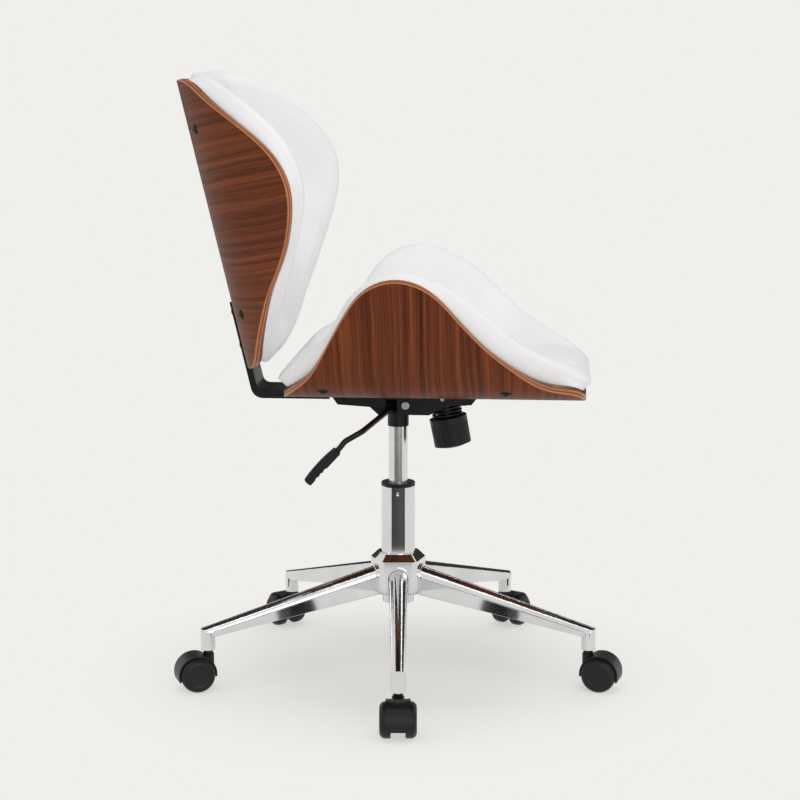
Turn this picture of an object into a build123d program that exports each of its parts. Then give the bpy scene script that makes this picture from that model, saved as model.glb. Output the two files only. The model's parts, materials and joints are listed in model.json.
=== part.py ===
from build123d import *
from math import acos, asin, cos, degrees, pi, radians, sin, sqrt
import os

os.makedirs("parts", exist_ok=True)

# Office chair, millimetres. Origin on the floor under the column, +X where the sitter faces, +Z up.

# Clearances
fit = 0.1
running = 0.05
gap = 0.3

# Seat height, which the gas spring, the mechanism, the lever and the back all follow
seat_underside = 428.0

# Base star
leg_count = 5
star_radius = 290.0
first_leg_angle = -85.4
hub_apothem = 36.0
hub_flat = 40.0
hub_bottom = 124.0
hub_shoulder = 173.0
hub_top = 183.0
hub_top_inset = 9.0
hub_wall = 4.0
sleeve_wall = 4.0
leg_root_width = 29.0
leg_tip_width = 19.0
leg_root_top = 163.0
leg_root_height = 41.0
leg_tip_top = 93.0
leg_tip_height = 16.0
socket_diameter = 21.0
socket_bottom = 58.5
arch_lip = 2.5
arch_lip_reach = 3.0
leg_end_gap = 1.0

# Column and gas spring
column_diameter = 50.0
column_wall = 2.0
column_bottom = 107.0
column_top = 283.0
column_taper = 4.0
column_floor = 4.0
collar_height = 5.0
bush_length = 80.0
lift_diameter = 28.0
lift_wall = 2.0
lift_bottom = 202.0
lift_top = seat_underside - 32.0
lift_taper_start = lift_top - 24.0
lift_taper = 1.4
gland_height = 7.0
lift_cap = 7.0
rod_diameter = 10.0
rod_bottom = 102.0
piston_height = 12.0
bearing_diameter = 24.0
bearing_height = 6.0
rod_collar_diameter = 16.0
rod_collar_height = 3.0
clip_height = 2.0
clip_diameter = 18.0
pin_diameter = 7.0
pin_length = 15.0

# Tilt mechanism
pivot_x = 13.8
pivot_z = seat_underside - 19.0
housing_rear = -97.0
housing_front = 121.0
housing_half = 40.0
housing_wall = 3.0
housing_end_z = seat_underside - 19.5
housing_belly_z = seat_underside - 33.6
housing_belly_rear = -26.0
housing_belly_front = 48.0
housing_arch_x = 74.0
end_slope = 12.0
pivot_diameter = 8.0
pivot_head = 12.0
pivot_head_height = 4.5
yoke_plate = 3.0
yoke_rear = -24.0
yoke_front = 101.0
yoke_floor_z = seat_underside - 32.6
yoke_top = seat_underside - 7.0
yoke_arm_top = seat_underside - 14.5
yoke_floor_front = 41.0
yoke_shoulder = 8.0
taper_socket_diameter = 31.0
lever_notch = 17.0
lever_notch_top = seat_underside - 11.0

# Tension knob, bolt and spring
knob_top_x = 73.0
knob_top_z = seat_underside - 42.0
knob_lean = 10.8
knob_diameter = 55.0
knob_height = 41.0
knob_band = 9.0
knob_dome = 5.0
knob_flutes = 30
flute_diameter = 3.6
knob_wall = 2.0
bolt_diameter = 10.0
eye_diameter = 12.0
eye_width = 9.0
eye_above_knob = 32.6
cross_pin_diameter = 7.0
eye_slot = 3.0
spring_plate = 4.0
spring_plate_above_knob = 21.5
spring_plate_length = 46.0
spring_wire = 4.6
spring_diameter = 45.0
spring_coils = 6
cup_thickness = 2.0
knob_floor = 8.0
cup_rim = 5.0
knob_travel = 3.0

# Lift lever
rocker_y = 18.0 - housing_half
rocker_z = seat_underside - 22.5
rocker_x = -3.4
rocker_diameter = 13.0
rocker_width = 17.0
trunnion_diameter = 5.0
trunnion_length = 3.4
ear_thickness = 3.0
lever_diameter = 8.0
lever_past_pin = 7.5
lever_elbow = (-35.4, -175.0, seat_underside - 32.9)
lever_second = (-58.7, -185.0, seat_underside - 45.4)
lever_handle_start = (-69.6, -188.0, seat_underside - 58.4)
lever_handle_end = (-109.7, -192.0, seat_underside - 101.3)
lever_bend = 12.0
handle_width = 20.0
handle_thickness = 12.0
handle_crown = 2.0
handle_tip = 1.5
handle_plain = 26.0
handle_grooves = 3
groove_pitch = 8.0
groove_depth = 1.4

# Bent shells: flat, bend radius, wing angle of the section across the chair
ply = 10.0
board = 4.0
board_inset = 16.0
pad_thickness = 36.0
pad_rim = 26.0
pad_tuck = 6.0
pad_roll = 17.0
pad_nose = 0.4
pad_ends = (0.0, 0.006, 0.016, 0.032, 0.055, 0.09)
pad_middle = 13
pad_belly = 0.4
edge_below = 1.0
facing_out = 0.2
seat_flat = 80.0
seat_bend = 130.0
seat_wing_angle = 68.0
seat_rear = -158.0
seat_front = 274.0
seat_wing_height = 182.0
seat_wing_x = 18.0
back_flat = 50.0
back_bend = 200.0
back_wing_angle = 58.0
back_foot_x = -211.5
back_foot_z = seat_underside + 40.0
back_recline = 13.3
back_height = 416.0
back_wing_reach = 141.5
back_wing_w = 243.0
seat_pad_rear = seat_rear - 8.0
seat_pad_front = seat_front + 8.0
seat_pad_height = seat_wing_height - 3.0
seat_pad_x = seat_wing_x - 3.0
back_pad_low = -4.0
back_pad_high = back_height + 6.0
back_pad_reach = back_wing_reach + 1.0
back_pad_w = back_wing_w + 4.0
seat_screw_spots = ((-94.0, 146.0), (162.0, 146.0))
back_screw_spots = ((81.0, 146.0), (344.0, 146.0))
screw_head = 14.5
screw_head_height = 3.0
screw_shank = 5.0

# Shares of the run and of the wing's height along each edge of the wing, from its end to its peak
seat_rear_edge = ((0.1, 0.075), (0.255, 0.208), (0.4, 0.425), (0.565, 0.71), (0.76, 0.934))
seat_front_edge = ((0.02, 0.042), (0.17, 0.112), (0.375, 0.276), (0.55, 0.487), (0.7, 0.722), (0.86, 0.94))
back_low_edge = (
    (0.002, 0.065),
    (0.02, 0.13),
    (0.092, 0.212),
    (0.272, 0.374),
    (0.437, 0.545),
    (0.61, 0.765),
    (0.8, 0.93),
)
back_high_edge = ((0.002, 0.065), (0.029, 0.155), (0.147, 0.302), (0.36, 0.54), (0.555, 0.755), (0.77, 0.93))
seat_pad_rear_edge = ((0.06, 0.06), (0.135, 0.165), (0.33, 0.34), (0.523, 0.627), (0.66, 0.838), (0.81, 0.95))
seat_pad_front_edge = ((0.045, 0.04), (0.11, 0.114), (0.304, 0.339), (0.537, 0.647), (0.731, 0.873), (0.87, 0.965))
back_pad_low_edge = ((0.042, 0.04), (0.12, 0.147), (0.271, 0.329), (0.426, 0.537), (0.587, 0.722), (0.77, 0.89))
back_pad_high_edge = ((0.016, 0.046), (0.069, 0.185), (0.186, 0.393), (0.364, 0.648), (0.554, 0.834), (0.758, 0.954))

# Back bracket
bracket_half = 35.0
bracket_web = 4.0
bracket_side = 4.0
bracket_back_depth = 9.5
bracket_seat_depth = 12.5
bracket_top = 92.0
bracket_bend = 18.0
bracket_bolt_y = 19.0
bracket_back_bolts = (26.0, 76.0)
bracket_seat_bolts = (-134.0, -111.0)
bracket_inner_bend = 12.0
bolt_shank = 6.0
bolt_head = 12.0
bolt_head_height = 4.0
bolt_reach = 8.0
plate_bolt_rear = -79.0
plate_bolt_front = 107.0
plate_bolt_y = 22.0

# Casters
wheel_diameter = 50.0
wheel_width = 15.5
wheel_spacing = 20.0
wheel_round = 4.0
wheel_recess = 1.2
caster_trail = 19.0
hood_gap = 1.0
hood_wall = 2.4
hood_width = 34.0
hood_web = 19.0
hood_rear_angle = -20.0
hood_front_angle = 188.0
axle_diameter = 6.0
axle_boss = 14.0
stem_diameter = 11.0
stem_collar = 14.0
stem_depth = 26.0
stem_boss = 17.0
stem_boss_top = 52.0
stem_seat = 18.0
axle_seat = 12.0

leg_angles = [first_leg_angle + 360.0 / leg_count * i for i in range(leg_count)]
axle_height = wheel_diameter / 2


# Base: hub, legs, casters' sockets

column_slope = column_taper / 2 / (hub_top - column_bottom)
bore_top = column_diameter / 2 + fit
bore_low = column_diameter / 2 - column_slope * (hub_top - hub_bottom) + fit
corner = sqrt(hub_apothem**2 + (hub_flat / 2) ** 2)
half_flat_angle = degrees(acos(hub_apothem / corner))


def hub_outline(inset):
    share = (hub_apothem - inset) / hub_apothem
    points = []
    for angle in leg_angles:
        for side in (-1, 1):
            turn = radians(angle + side * half_flat_angle)
            points.append((corner * share * cos(turn), corner * share * sin(turn)))
    return points


leg_root = column_diameter / 2 + sleeve_wall + gap + leg_end_gap


def leg_section(width, top, height):
    crown = width / 2
    with BuildSketch() as profile:
        with BuildLine():
            Line((-crown, top - height), (crown, top - height))
            Line((crown, top - height), (crown, top - crown))
            CenterArc((0, top - crown), crown, 0, 90)
            CenterArc((0, top - crown), crown, 90, 90)
            Line((-crown, top - crown), (-crown, top - height))
        make_face()
    return profile.sketch


def leg_plane(angle, reach):
    turn = radians(angle)
    out = Vector(cos(turn), sin(turn), 0)
    return Plane(origin=out * reach, x_dir=(sin(turn), -cos(turn), 0), z_dir=-out)


def leg_size(reach):
    share = (reach - hub_apothem) / (star_radius - hub_apothem)
    width = leg_root_width + (leg_tip_width - leg_root_width) * share
    top = leg_root_top + (leg_tip_top - leg_root_top) * share
    height = leg_root_height + (leg_tip_height - leg_root_height) * share
    return width, top, height


with BuildPart() as base_hub:
    with BuildSketch(Plane.XY.offset(hub_bottom)):
        Polygon(*hub_outline(0), align=None)
    extrude(amount=hub_shoulder - hub_bottom)
    with BuildSketch(Plane.XY.offset(hub_shoulder)):
        Polygon(*hub_outline(0), align=None)
    with BuildSketch(Plane.XY.offset(hub_top)):
        Polygon(*hub_outline(hub_top_inset), align=None)
    loft(ruled=True)
    with BuildSketch(Plane.XY.offset(hub_bottom)):
        Polygon(*hub_outline(hub_wall), align=None)
        Circle(bore_top + sleeve_wall, mode=Mode.SUBTRACT)
    extrude(amount=hub_shoulder - hub_bottom - hub_wall, mode=Mode.SUBTRACT)
    with BuildSketch(Plane.XZ):
        with BuildLine():
            Polyline(
                (0, hub_bottom),
                (bore_low, hub_bottom),
                (bore_top, hub_top),
                (0, hub_top),
                close=True,
            )
        make_face()
    revolve(axis=Axis.Z, mode=Mode.SUBTRACT)
    for angle in leg_angles:
        with BuildSketch(leg_plane(angle, hub_apothem + arch_lip_reach)):
            width, top, height = leg_size(hub_apothem)
            add(leg_section(width + 2 * arch_lip, top + arch_lip, height))
        extrude(amount=hub_wall + arch_lip_reach)
        for reach in (leg_root, hub_apothem + arch_lip_reach + leg_end_gap):
            with BuildSketch(leg_plane(angle, reach)):
                width, top, height = leg_size(reach)
                add(leg_section(width + 2 * gap, top + gap, height + 2 * gap))
        loft(mode=Mode.SUBTRACT)
base_hub.part.label = "base_hub"
export_step(base_hub.part, "parts/base_hub.step")

stem_bore = stem_diameter / 2 + running
stem_top = socket_bottom + stem_depth

for number, angle in enumerate(leg_angles, start=1):
    turn = radians(angle)
    tip = (star_radius * cos(turn), star_radius * sin(turn), 0)
    with BuildPart() as base_leg:
        for reach in (leg_root, star_radius + socket_diameter / 2):
            with BuildSketch(leg_plane(angle, reach)):
                add(leg_section(*leg_size(reach)))
        loft()
        with BuildSketch(Plane(origin=tip).offset(socket_bottom)):
            Circle(socket_diameter / 2)
        extrude(amount=leg_tip_top - leg_tip_height / 2 - socket_bottom)
        with BuildSketch(Plane(origin=tip).offset(socket_bottom)):
            Circle(star_radius)
            Circle(socket_diameter / 2, mode=Mode.SUBTRACT)
            with Locations((-star_radius * cos(turn) / 2, -star_radius * sin(turn) / 2)):
                Rectangle(star_radius, star_radius, rotation=angle, mode=Mode.SUBTRACT)
        extrude(amount=leg_root_top, mode=Mode.SUBTRACT)
        with BuildSketch(Plane(origin=tip).offset(socket_bottom)):
            Circle(stem_bore)
        extrude(amount=stem_depth + gap, mode=Mode.SUBTRACT)
    base_leg.part.label = f"base_leg_{number}"
    export_step(base_leg.part, f"parts/base_leg_{number}.step")

# Column: outer tube, guide bush, thrust bearing, clip

column_radius = column_diameter / 2
column_foot = column_radius - column_slope * (hub_top - column_bottom)
column_bore = column_radius - column_wall
rod_hole = rod_diameter / 2 + running
bearing_bottom = column_bottom + column_floor
bearing_top = bearing_bottom + bearing_height
lift_radius = lift_diameter / 2

with BuildPart() as column_tube:
    with BuildSketch(Plane.XZ):
        with BuildLine():
            foot_bore = column_foot - column_wall
            Polyline(
                (rod_hole, column_bottom),
                (column_foot, column_bottom),
                (column_radius, hub_top),
                (column_radius, column_top),
                (column_bore, column_top),
                (column_bore, hub_top),
                (foot_bore, column_bottom + column_floor),
                (rod_hole, column_bottom + column_floor),
                close=True,
            )
        make_face()
    revolve(axis=Axis.Z)
column_tube.part.label = "column_tube"
export_step(column_tube.part, "parts/column_tube.step")

with BuildPart() as guide_bush:
    with BuildSketch(Plane.XY.offset(column_top)):
        Circle(column_radius)
    extrude(amount=collar_height)
    fillet(guide_bush.edges().group_by(Axis.Z)[-1], radius=collar_height / 3)
    with BuildSketch(Plane.XY.offset(column_top)):
        Circle(column_bore - fit)
    extrude(amount=-bush_length)
    with BuildSketch(Plane.XY.offset(column_top - bush_length)):
        Circle(lift_radius + running)
    extrude(amount=bush_length + collar_height, mode=Mode.SUBTRACT)
guide_bush.part.label = "guide_bush"
export_step(guide_bush.part, "parts/guide_bush.step")

with BuildPart() as thrust_bearing:
    with BuildSketch(Plane.XY.offset(bearing_bottom)):
        Circle(bearing_diameter / 2)
        Circle(rod_hole, mode=Mode.SUBTRACT)
    extrude(amount=bearing_height)
    bearing_rims = thrust_bearing.edges().filter_by(GeomType.CIRCLE).group_by(SortBy.RADIUS)[-1]
    fillet(bearing_rims, radius=bearing_height / 6)
thrust_bearing.part.label = "thrust_bearing"
export_step(thrust_bearing.part, "parts/thrust_bearing.step")

# Piston rod, its clip under the column floor, the pressure cylinder and the release pin

clip_top = column_bottom - running
piston_bottom = lift_bottom + gland_height + gap

with BuildPart() as piston_rod:
    with BuildSketch(Plane.XY.offset(rod_bottom)):
        Circle(rod_diameter / 2)
    extrude(amount=piston_bottom - rod_bottom)
    with BuildSketch(Plane.XY.offset(bearing_top + running)):
        Circle(rod_collar_diameter / 2)
    extrude(amount=rod_collar_height)
    with BuildSketch(Plane.XY.offset(piston_bottom)):
        Circle(lift_radius - lift_wall - running)
    extrude(amount=piston_height)
piston_rod.part.label = "piston_rod"
export_step(piston_rod.part, "parts/piston_rod.step")

with BuildPart() as retaining_clip:
    with BuildSketch(Plane.XY.offset(clip_top - clip_height)):
        Circle(clip_diameter / 2)
        Circle(rod_hole, mode=Mode.SUBTRACT)
        with Locations((clip_diameter / 2, 0)):
            Rectangle(clip_diameter, rod_diameter / 2, mode=Mode.SUBTRACT)
    extrude(amount=clip_height)
retaining_clip.part.label = "retaining_clip"
export_step(retaining_clip.part, "parts/retaining_clip.step")

taper_top = lift_radius - lift_taper / 2

with BuildPart() as pressure_cylinder:
    with BuildSketch(Plane.XZ):
        with BuildLine():
            inside = lift_radius - lift_wall
            pin_hole = pin_diameter / 2 + running
            Polyline(
                (rod_hole, lift_bottom),
                (lift_radius, lift_bottom),
                (lift_radius, lift_taper_start),
                (taper_top, lift_top),
                (pin_hole, lift_top),
                (pin_hole, lift_top - lift_cap),
                (taper_top - lift_wall, lift_top - lift_cap),
                (inside, lift_taper_start),
                (inside, lift_bottom + gland_height),
                (rod_hole, lift_bottom + gland_height),
                close=True,
            )
        make_face()
    revolve(axis=Axis.Z)
pressure_cylinder.part.label = "pressure_cylinder"
export_step(pressure_cylinder.part, "parts/pressure_cylinder.step")

# Lever line through the rocker, from which the pin's top follows

rocker = Vector(rocker_x, rocker_y, rocker_z)
elbow = Vector(*lever_elbow)
lever_dir = (elbow - rocker).normalized()
lever_over_pin = rocker - lever_dir * (rocker_y / lever_dir.Y)
pin_reach = pin_diameter / 2 * abs(lever_dir.Z / lever_dir.Y)
pin_top = lever_over_pin.Z - lever_diameter / 2 / sqrt(1 - lever_dir.Z**2) - pin_reach - gap

with BuildPart() as release_pin:
    with BuildSketch(Plane.XY.offset(pin_top - pin_length)):
        Circle(pin_diameter / 2)
    extrude(amount=pin_length)
    fillet(release_pin.edges().group_by(Axis.Z)[-1], radius=pin_diameter / 8)
release_pin.part.label = "release_pin"
export_step(release_pin.part, "parts/release_pin.step")

# Tilt yoke: tray on the gas spring's taper, with the spring plate on its front arm

lean = radians(knob_lean)
bolt_up = Vector(-sin(lean), 0, cos(lean))
knob_top = Vector(knob_top_x, 0, knob_top_z)
knob_plane = Plane(origin=knob_top, x_dir=(cos(lean), 0, sin(lean)), z_dir=bolt_up)
yoke_half = housing_half - housing_wall - gap
cheek_inner = yoke_half - yoke_plate
belly_wall = Plane.XZ.offset(-yoke_half)
lever_at_cheek = rocker + lever_dir * ((-yoke_half - rocker_y) / lever_dir.Y)
lever_at_wall = rocker + lever_dir * ((-housing_half - rocker_y) / lever_dir.Y)

with BuildPart() as tilt_yoke:
    with BuildSketch(belly_wall):
        with BuildLine():
            Polyline(
                (yoke_rear, yoke_floor_z),
                (yoke_floor_front, yoke_floor_z),
                (housing_arch_x, housing_end_z),
                (yoke_front, housing_end_z),
                (yoke_front, yoke_arm_top),
                (housing_belly_front + yoke_shoulder, yoke_arm_top),
                (housing_belly_front, yoke_top),
                (pivot_x - pivot_diameter, yoke_top),
                (yoke_rear, pivot_z + pivot_diameter / 2),
                close=True,
            )
        make_face()
    extrude(amount=2 * yoke_half)
    with BuildSketch(Plane.XY.offset(yoke_floor_z + yoke_plate)):
        with Locations(((yoke_rear + yoke_front) / 2, 0)):
            Rectangle(2 * (yoke_front - yoke_rear), 2 * cheek_inner)
    extrude(amount=yoke_top, mode=Mode.SUBTRACT)
    with BuildSketch(Plane.XY.offset(yoke_floor_z - yoke_plate)):
        with Locations((yoke_floor_front + yoke_front, 0)):
            Rectangle(2 * yoke_front, 2 * cheek_inner)
    extrude(amount=yoke_top, mode=Mode.SUBTRACT)
    with BuildSketch(knob_plane.offset(spring_plate_above_knob)):
        Rectangle(spring_plate_length, 2 * cheek_inner)
        Circle(bolt_diameter / 2 + eye_slot, mode=Mode.SUBTRACT)
    extrude(amount=spring_plate)
    with BuildSketch(Plane.XY.offset(lift_taper_start)):
        Circle(taper_socket_diameter / 2)
    extrude(amount=yoke_floor_z + yoke_plate - lift_taper_start)
    with BuildSketch(Plane.XZ):
        with BuildLine():
            socket_low = lift_radius + running
            socket_high = taper_top + running
            Polyline(
                (0, lift_taper_start),
                (socket_low, lift_taper_start),
                (socket_high, lift_top),
                (socket_high, lift_top + lift_cap),
                (0, lift_top + lift_cap),
                close=True,
            )
        make_face()
    revolve(axis=Axis.Z, mode=Mode.SUBTRACT)
    with BuildSketch(Plane.XZ):
        with Locations((pivot_x, pivot_z)):
            Circle(pivot_diameter / 2 + running)
    extrude(amount=housing_half, both=True, mode=Mode.SUBTRACT)
    with BuildSketch(Plane.XZ.offset(cheek_inner)):
        with Locations((lever_at_cheek.X, lever_at_cheek.Z + lever_notch)):
            Rectangle(lever_notch, 3 * lever_notch)
    extrude(amount=housing_wall + yoke_plate, mode=Mode.SUBTRACT)
    for side in (-1, 1):
        ear_x = rocker_x + side * (rocker_width / 2 + gap + ear_thickness / 2)
        with BuildSketch(Plane.YZ.offset(ear_x - ear_thickness / 2)):
            with BuildLine():
                ear_half = trunnion_diameter
                ear_foot = yoke_floor_z + yoke_plate / 2
                Line((rocker_y - ear_half, ear_foot), (rocker_y + ear_half, ear_foot))
                Line((rocker_y + ear_half, ear_foot), (rocker_y + ear_half, rocker_z))
                CenterArc((rocker_y, rocker_z), ear_half, 0, 90)
                CenterArc((rocker_y, rocker_z), ear_half, 90, 90)
                Line((rocker_y - ear_half, rocker_z), (rocker_y - ear_half, ear_foot))
            make_face()
            with Locations((rocker_y, rocker_z)):
                Circle(trunnion_diameter / 2 + running, mode=Mode.SUBTRACT)
        extrude(amount=ear_thickness)
tilt_yoke.part.label = "tilt_yoke"
export_step(tilt_yoke.part, "parts/tilt_yoke.step")

# Tilt housing: pressed tray under the seat, open below

pin_at = knob_top + bolt_up * eye_above_knob

with BuildPart() as tilt_housing:
    with BuildSketch(Plane.XZ.offset(-housing_half)):
        with BuildLine():
            Polyline(
                (housing_rear, seat_underside),
                (housing_rear, seat_underside - housing_wall),
                (housing_rear + end_slope, housing_end_z),
                (housing_belly_rear - end_slope, housing_end_z - housing_wall),
                (housing_belly_rear, housing_belly_z),
                (housing_belly_front, housing_belly_z),
                (housing_arch_x, housing_end_z),
                (housing_front - end_slope, housing_end_z + housing_wall / 2),
                (housing_front, seat_underside - housing_wall),
                (housing_front, seat_underside),
                close=True,
            )
        make_face()
    extrude(amount=2 * housing_half)
    with BuildSketch(Plane.XZ.offset(-housing_half + housing_wall)):
        with BuildLine():
            inner_top = seat_underside - housing_wall
            Polyline(
                (housing_rear + housing_wall, inner_top),
                (housing_rear + end_slope + housing_wall, housing_end_z - housing_wall),
                (housing_belly_rear, housing_belly_z - 2 * housing_wall),
                (housing_front - end_slope - housing_wall, housing_belly_z),
                (housing_front - end_slope - housing_wall, housing_end_z),
                (housing_front - housing_wall, inner_top),
                close=True,
            )
        make_face()
    extrude(amount=2 * (housing_half - housing_wall), mode=Mode.SUBTRACT)
    with BuildSketch(Plane.XZ):
        with Locations((pivot_x, pivot_z)):
            Circle(pivot_diameter / 2 + running)
        with Locations((pin_at.X, pin_at.Z)):
            Circle(cross_pin_diameter / 2 + running)
    extrude(amount=2 * housing_half, both=True, mode=Mode.SUBTRACT)
    with BuildSketch(Plane.XZ.offset(housing_half - 2 * housing_wall)):
        with Locations((lever_at_wall.X, lever_notch_top - lever_notch)):
            Rectangle(lever_notch, 2 * lever_notch)
    extrude(amount=3 * housing_wall, mode=Mode.SUBTRACT)
    with Locations(Plane.XY.offset(seat_underside)):
        with Locations(
            (plate_bolt_rear, plate_bolt_y),
            (plate_bolt_rear, -plate_bolt_y),
            (plate_bolt_front, plate_bolt_y),
            (plate_bolt_front, -plate_bolt_y),
        ):
            Hole(bolt_shank / 2 + fit, depth=2 * housing_wall)
tilt_housing.part.label = "tilt_housing"
export_step(tilt_housing.part, "parts/tilt_housing.step")

# Pivot rivets, one in each side, and the cross pin that carries the tension bolt

with BuildPart() as pivot_bolts:
    for side in (-1, 1):
        face = Plane(origin=(pivot_x, side * cheek_inner, pivot_z), z_dir=(0, side, 0))
        with BuildSketch(face.offset(-pivot_head_height)):
            Circle(pivot_head / 2)
        extrude(amount=pivot_head_height - running)
        with BuildSketch(face.offset(-pivot_head_height / 2)):
            Circle(pivot_diameter / 2)
        extrude(amount=housing_half - cheek_inner + pivot_head_height)
        with BuildSketch(face.offset(housing_half - cheek_inner + running)):
            Circle(pivot_head / 2)
        extrude(amount=pivot_head_height)
        outer = pivot_bolts.edges().filter_by(GeomType.CIRCLE).group_by(Axis.Y)[0 if side < 0 else -1]
        fillet(outer, radius=pivot_head_height / 3)
pivot_bolts.part.label = "pivot_bolts"
export_step(pivot_bolts.part, "parts/pivot_bolts.step")

with BuildPart() as bolt_pin:
    with BuildSketch(Plane(origin=pin_at, z_dir=(0, 1, 0)).offset(-housing_half)):
        Circle(cross_pin_diameter / 2)
    extrude(amount=2 * housing_half)
    chamfer(bolt_pin.edges().filter_by(GeomType.CIRCLE), length=housing_wall / 4)
bolt_pin.part.label = "bolt_pin"
export_step(bolt_pin.part, "parts/bolt_pin.step")

# Tension bolt with an eye on the cross pin, thread into the knob

thread_end = -knob_height + knob_wall

with BuildPart() as tension_bolt:
    with BuildSketch(knob_plane.offset(thread_end)):
        Circle(bolt_diameter / 2)
    extrude(amount=eye_above_knob - thread_end)
    eye_plane = Plane(origin=pin_at, x_dir=knob_plane.x_dir, z_dir=(0, -1, 0))
    with BuildSketch(eye_plane.offset(-eye_width / 2)):
        SlotCenterToCenter(eye_slot, eye_diameter)
    extrude(amount=eye_width)
    with BuildSketch(eye_plane.offset(-eye_width)):
        SlotCenterToCenter(eye_slot, cross_pin_diameter + 2 * fit)
    extrude(amount=2 * eye_width, mode=Mode.SUBTRACT)
tension_bolt.part.label = "tension_bolt"
export_step(tension_bolt.part, "parts/tension_bolt.step")

# Knob: fluted cup round the spring, closed below, screwed on the bolt

knob_radius = knob_diameter / 2
spring_outer = spring_diameter / 2
cup_radius = spring_outer + gap + cup_thickness
cup_floor = -knob_height + knob_floor
knob_side = Plane(origin=knob_top, x_dir=knob_plane.x_dir, z_dir=(0, -1, 0))
knob_axis = Axis(knob_top, bolt_up)

with BuildPart() as tension_knob:
    with BuildSketch(knob_side):
        with BuildLine():
            knob_foot = knob_radius - knob_wall / 4
            dome_edge = knob_radius - flute_diameter / 2 - knob_wall / 4
            Line((0, -knob_height - knob_dome), (0, 0))
            Line((0, 0), (knob_radius, 0))
            Line((knob_radius, 0), (knob_foot, -knob_height))
            Line((knob_foot, -knob_height), (dome_edge, -knob_height))
            dome_radius = (dome_edge**2 + knob_dome**2) / (2 * knob_dome)
            dome_centre = (0, -knob_height - knob_dome + dome_radius)
            CenterArc(dome_centre, dome_radius, -90, degrees(asin(dome_edge / dome_radius)))
        make_face()
    revolve(axis=knob_axis)
    with BuildSketch(knob_plane.offset(-knob_height - knob_wall)):
        with PolarLocations(knob_radius + flute_diameter / 5, knob_flutes, start_angle=180 / knob_flutes):
            Circle(flute_diameter / 2)
    extrude(amount=knob_height + knob_wall - knob_band, mode=Mode.SUBTRACT)
    with BuildSketch(knob_plane.offset(cup_floor)):
        Circle(cup_radius + gap)
    extrude(amount=knob_height, mode=Mode.SUBTRACT)
    with BuildSketch(knob_plane.offset(thread_end - knob_travel - gap)):
        Circle(bolt_diameter / 2 + running)
    extrude(amount=knob_height, mode=Mode.SUBTRACT)
tension_knob.part.label = "tension_knob"
export_step(tension_knob.part, "parts/tension_knob.step")

with BuildPart() as spring_cup:
    with BuildSketch(knob_plane.offset(cup_floor + running)):
        Circle(cup_radius)
        Circle(bolt_diameter / 2 + fit, mode=Mode.SUBTRACT)
    extrude(amount=cup_thickness + cup_rim)
    with BuildSketch(knob_plane.offset(cup_floor + running + cup_thickness)):
        Circle(cup_radius - cup_thickness)
    extrude(amount=cup_rim, mode=Mode.SUBTRACT)
spring_cup.part.label = "spring_cup"
export_step(spring_cup.part, "parts/spring_cup.step")

# Tilt spring: one wire on biarcs of a quarter turn, from the cup to the yoke's plate

spring_mean = (spring_diameter - spring_wire) / 2
spring_low = cup_floor + running + cup_thickness + spring_wire / 2 + gap
spring_high = spring_plate_above_knob - spring_wire / 2 - gap
spring_rise = spring_high - spring_low
spring_steps = 4 * spring_coils


def spring_point(step):
    turn = 2 * pi * step / 4
    height = spring_low + spring_rise * step / spring_steps
    return knob_plane.from_local_coords(Vector(spring_mean * cos(turn), spring_mean * sin(turn), height))


def spring_heading(step):
    turn = 2 * pi * step / 4
    climb = spring_rise / spring_coils / (2 * pi)
    tangent = Vector(-spring_mean * sin(turn), spring_mean * cos(turn), climb)
    start = knob_plane.from_local_coords(Vector(0, 0, 0))
    return (knob_plane.from_local_coords(tangent) - start).normalized()


spring_arcs = []
for step in range(spring_steps):
    start, end = spring_point(step), spring_point(step + 1)
    leave, arrive = spring_heading(step), spring_heading(step + 1)
    across = end - start
    both = leave + arrive
    a = both.dot(both) - 4
    b = -2 * across.dot(both)
    c = across.dot(across)
    reach = (-b - sqrt(b * b - 4 * a * c)) / (2 * a)
    if reach < 0:
        reach = (-b + sqrt(b * b - 4 * a * c)) / (2 * a)
    middle = (start + leave * reach + end - arrive * reach) * 0.5
    spring_arcs.append((start, middle, leave))
    spring_arcs.append((middle, end, (end - arrive * reach - middle).normalized()))

with BuildPart() as tilt_spring:
    with BuildLine() as spring_path:
        for start, end, leave in spring_arcs:
            TangentArc(start, end, tangent=leave)
    with BuildSketch(Plane(origin=spring_point(0), z_dir=spring_heading(0))):
        Circle(spring_wire / 2)
    sweep()
tilt_spring.part.label = "tilt_spring"
export_step(tilt_spring.part, "parts/tilt_spring.step")

spring_samples = [spring_point(i / 8) for i in range(8 * spring_steps + 1)]
spring_least = min(
    (one - other).length
    for i, one in enumerate(spring_samples)
    for other in spring_samples[i + 16 :]
)
print("tilt_spring least gap to itself", round(spring_least - spring_wire, 2))

# Lift lever: rocker on two trunnions, bent rod, handle

with BuildPart() as lever_rocker:
    with BuildSketch(Plane(origin=rocker, z_dir=(1, 0, 0)).offset(-rocker_width / 2)):
        Circle(rocker_diameter / 2)
    extrude(amount=rocker_width)
    with BuildSketch(Plane(origin=rocker, z_dir=(1, 0, 0)).offset(-rocker_width / 2 - trunnion_length)):
        Circle(trunnion_diameter / 2)
    extrude(amount=rocker_width + 2 * trunnion_length)
    with BuildSketch(Plane(origin=rocker, z_dir=lever_dir)):
        Circle(lever_diameter / 2 + running)
    extrude(amount=rocker_width, both=True, mode=Mode.SUBTRACT)
lever_rocker.part.label = "lever_rocker"
export_step(lever_rocker.part, "parts/lever_rocker.step")

handle_start = Vector(*lever_handle_start)
handle_end = Vector(*lever_handle_end)
handle_dir = (handle_end - handle_start).normalized()
handle_length = (handle_end - handle_start).length
rod_in_handle = handle_length / 2
lever_inner = lever_over_pin - lever_dir * lever_past_pin

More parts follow.
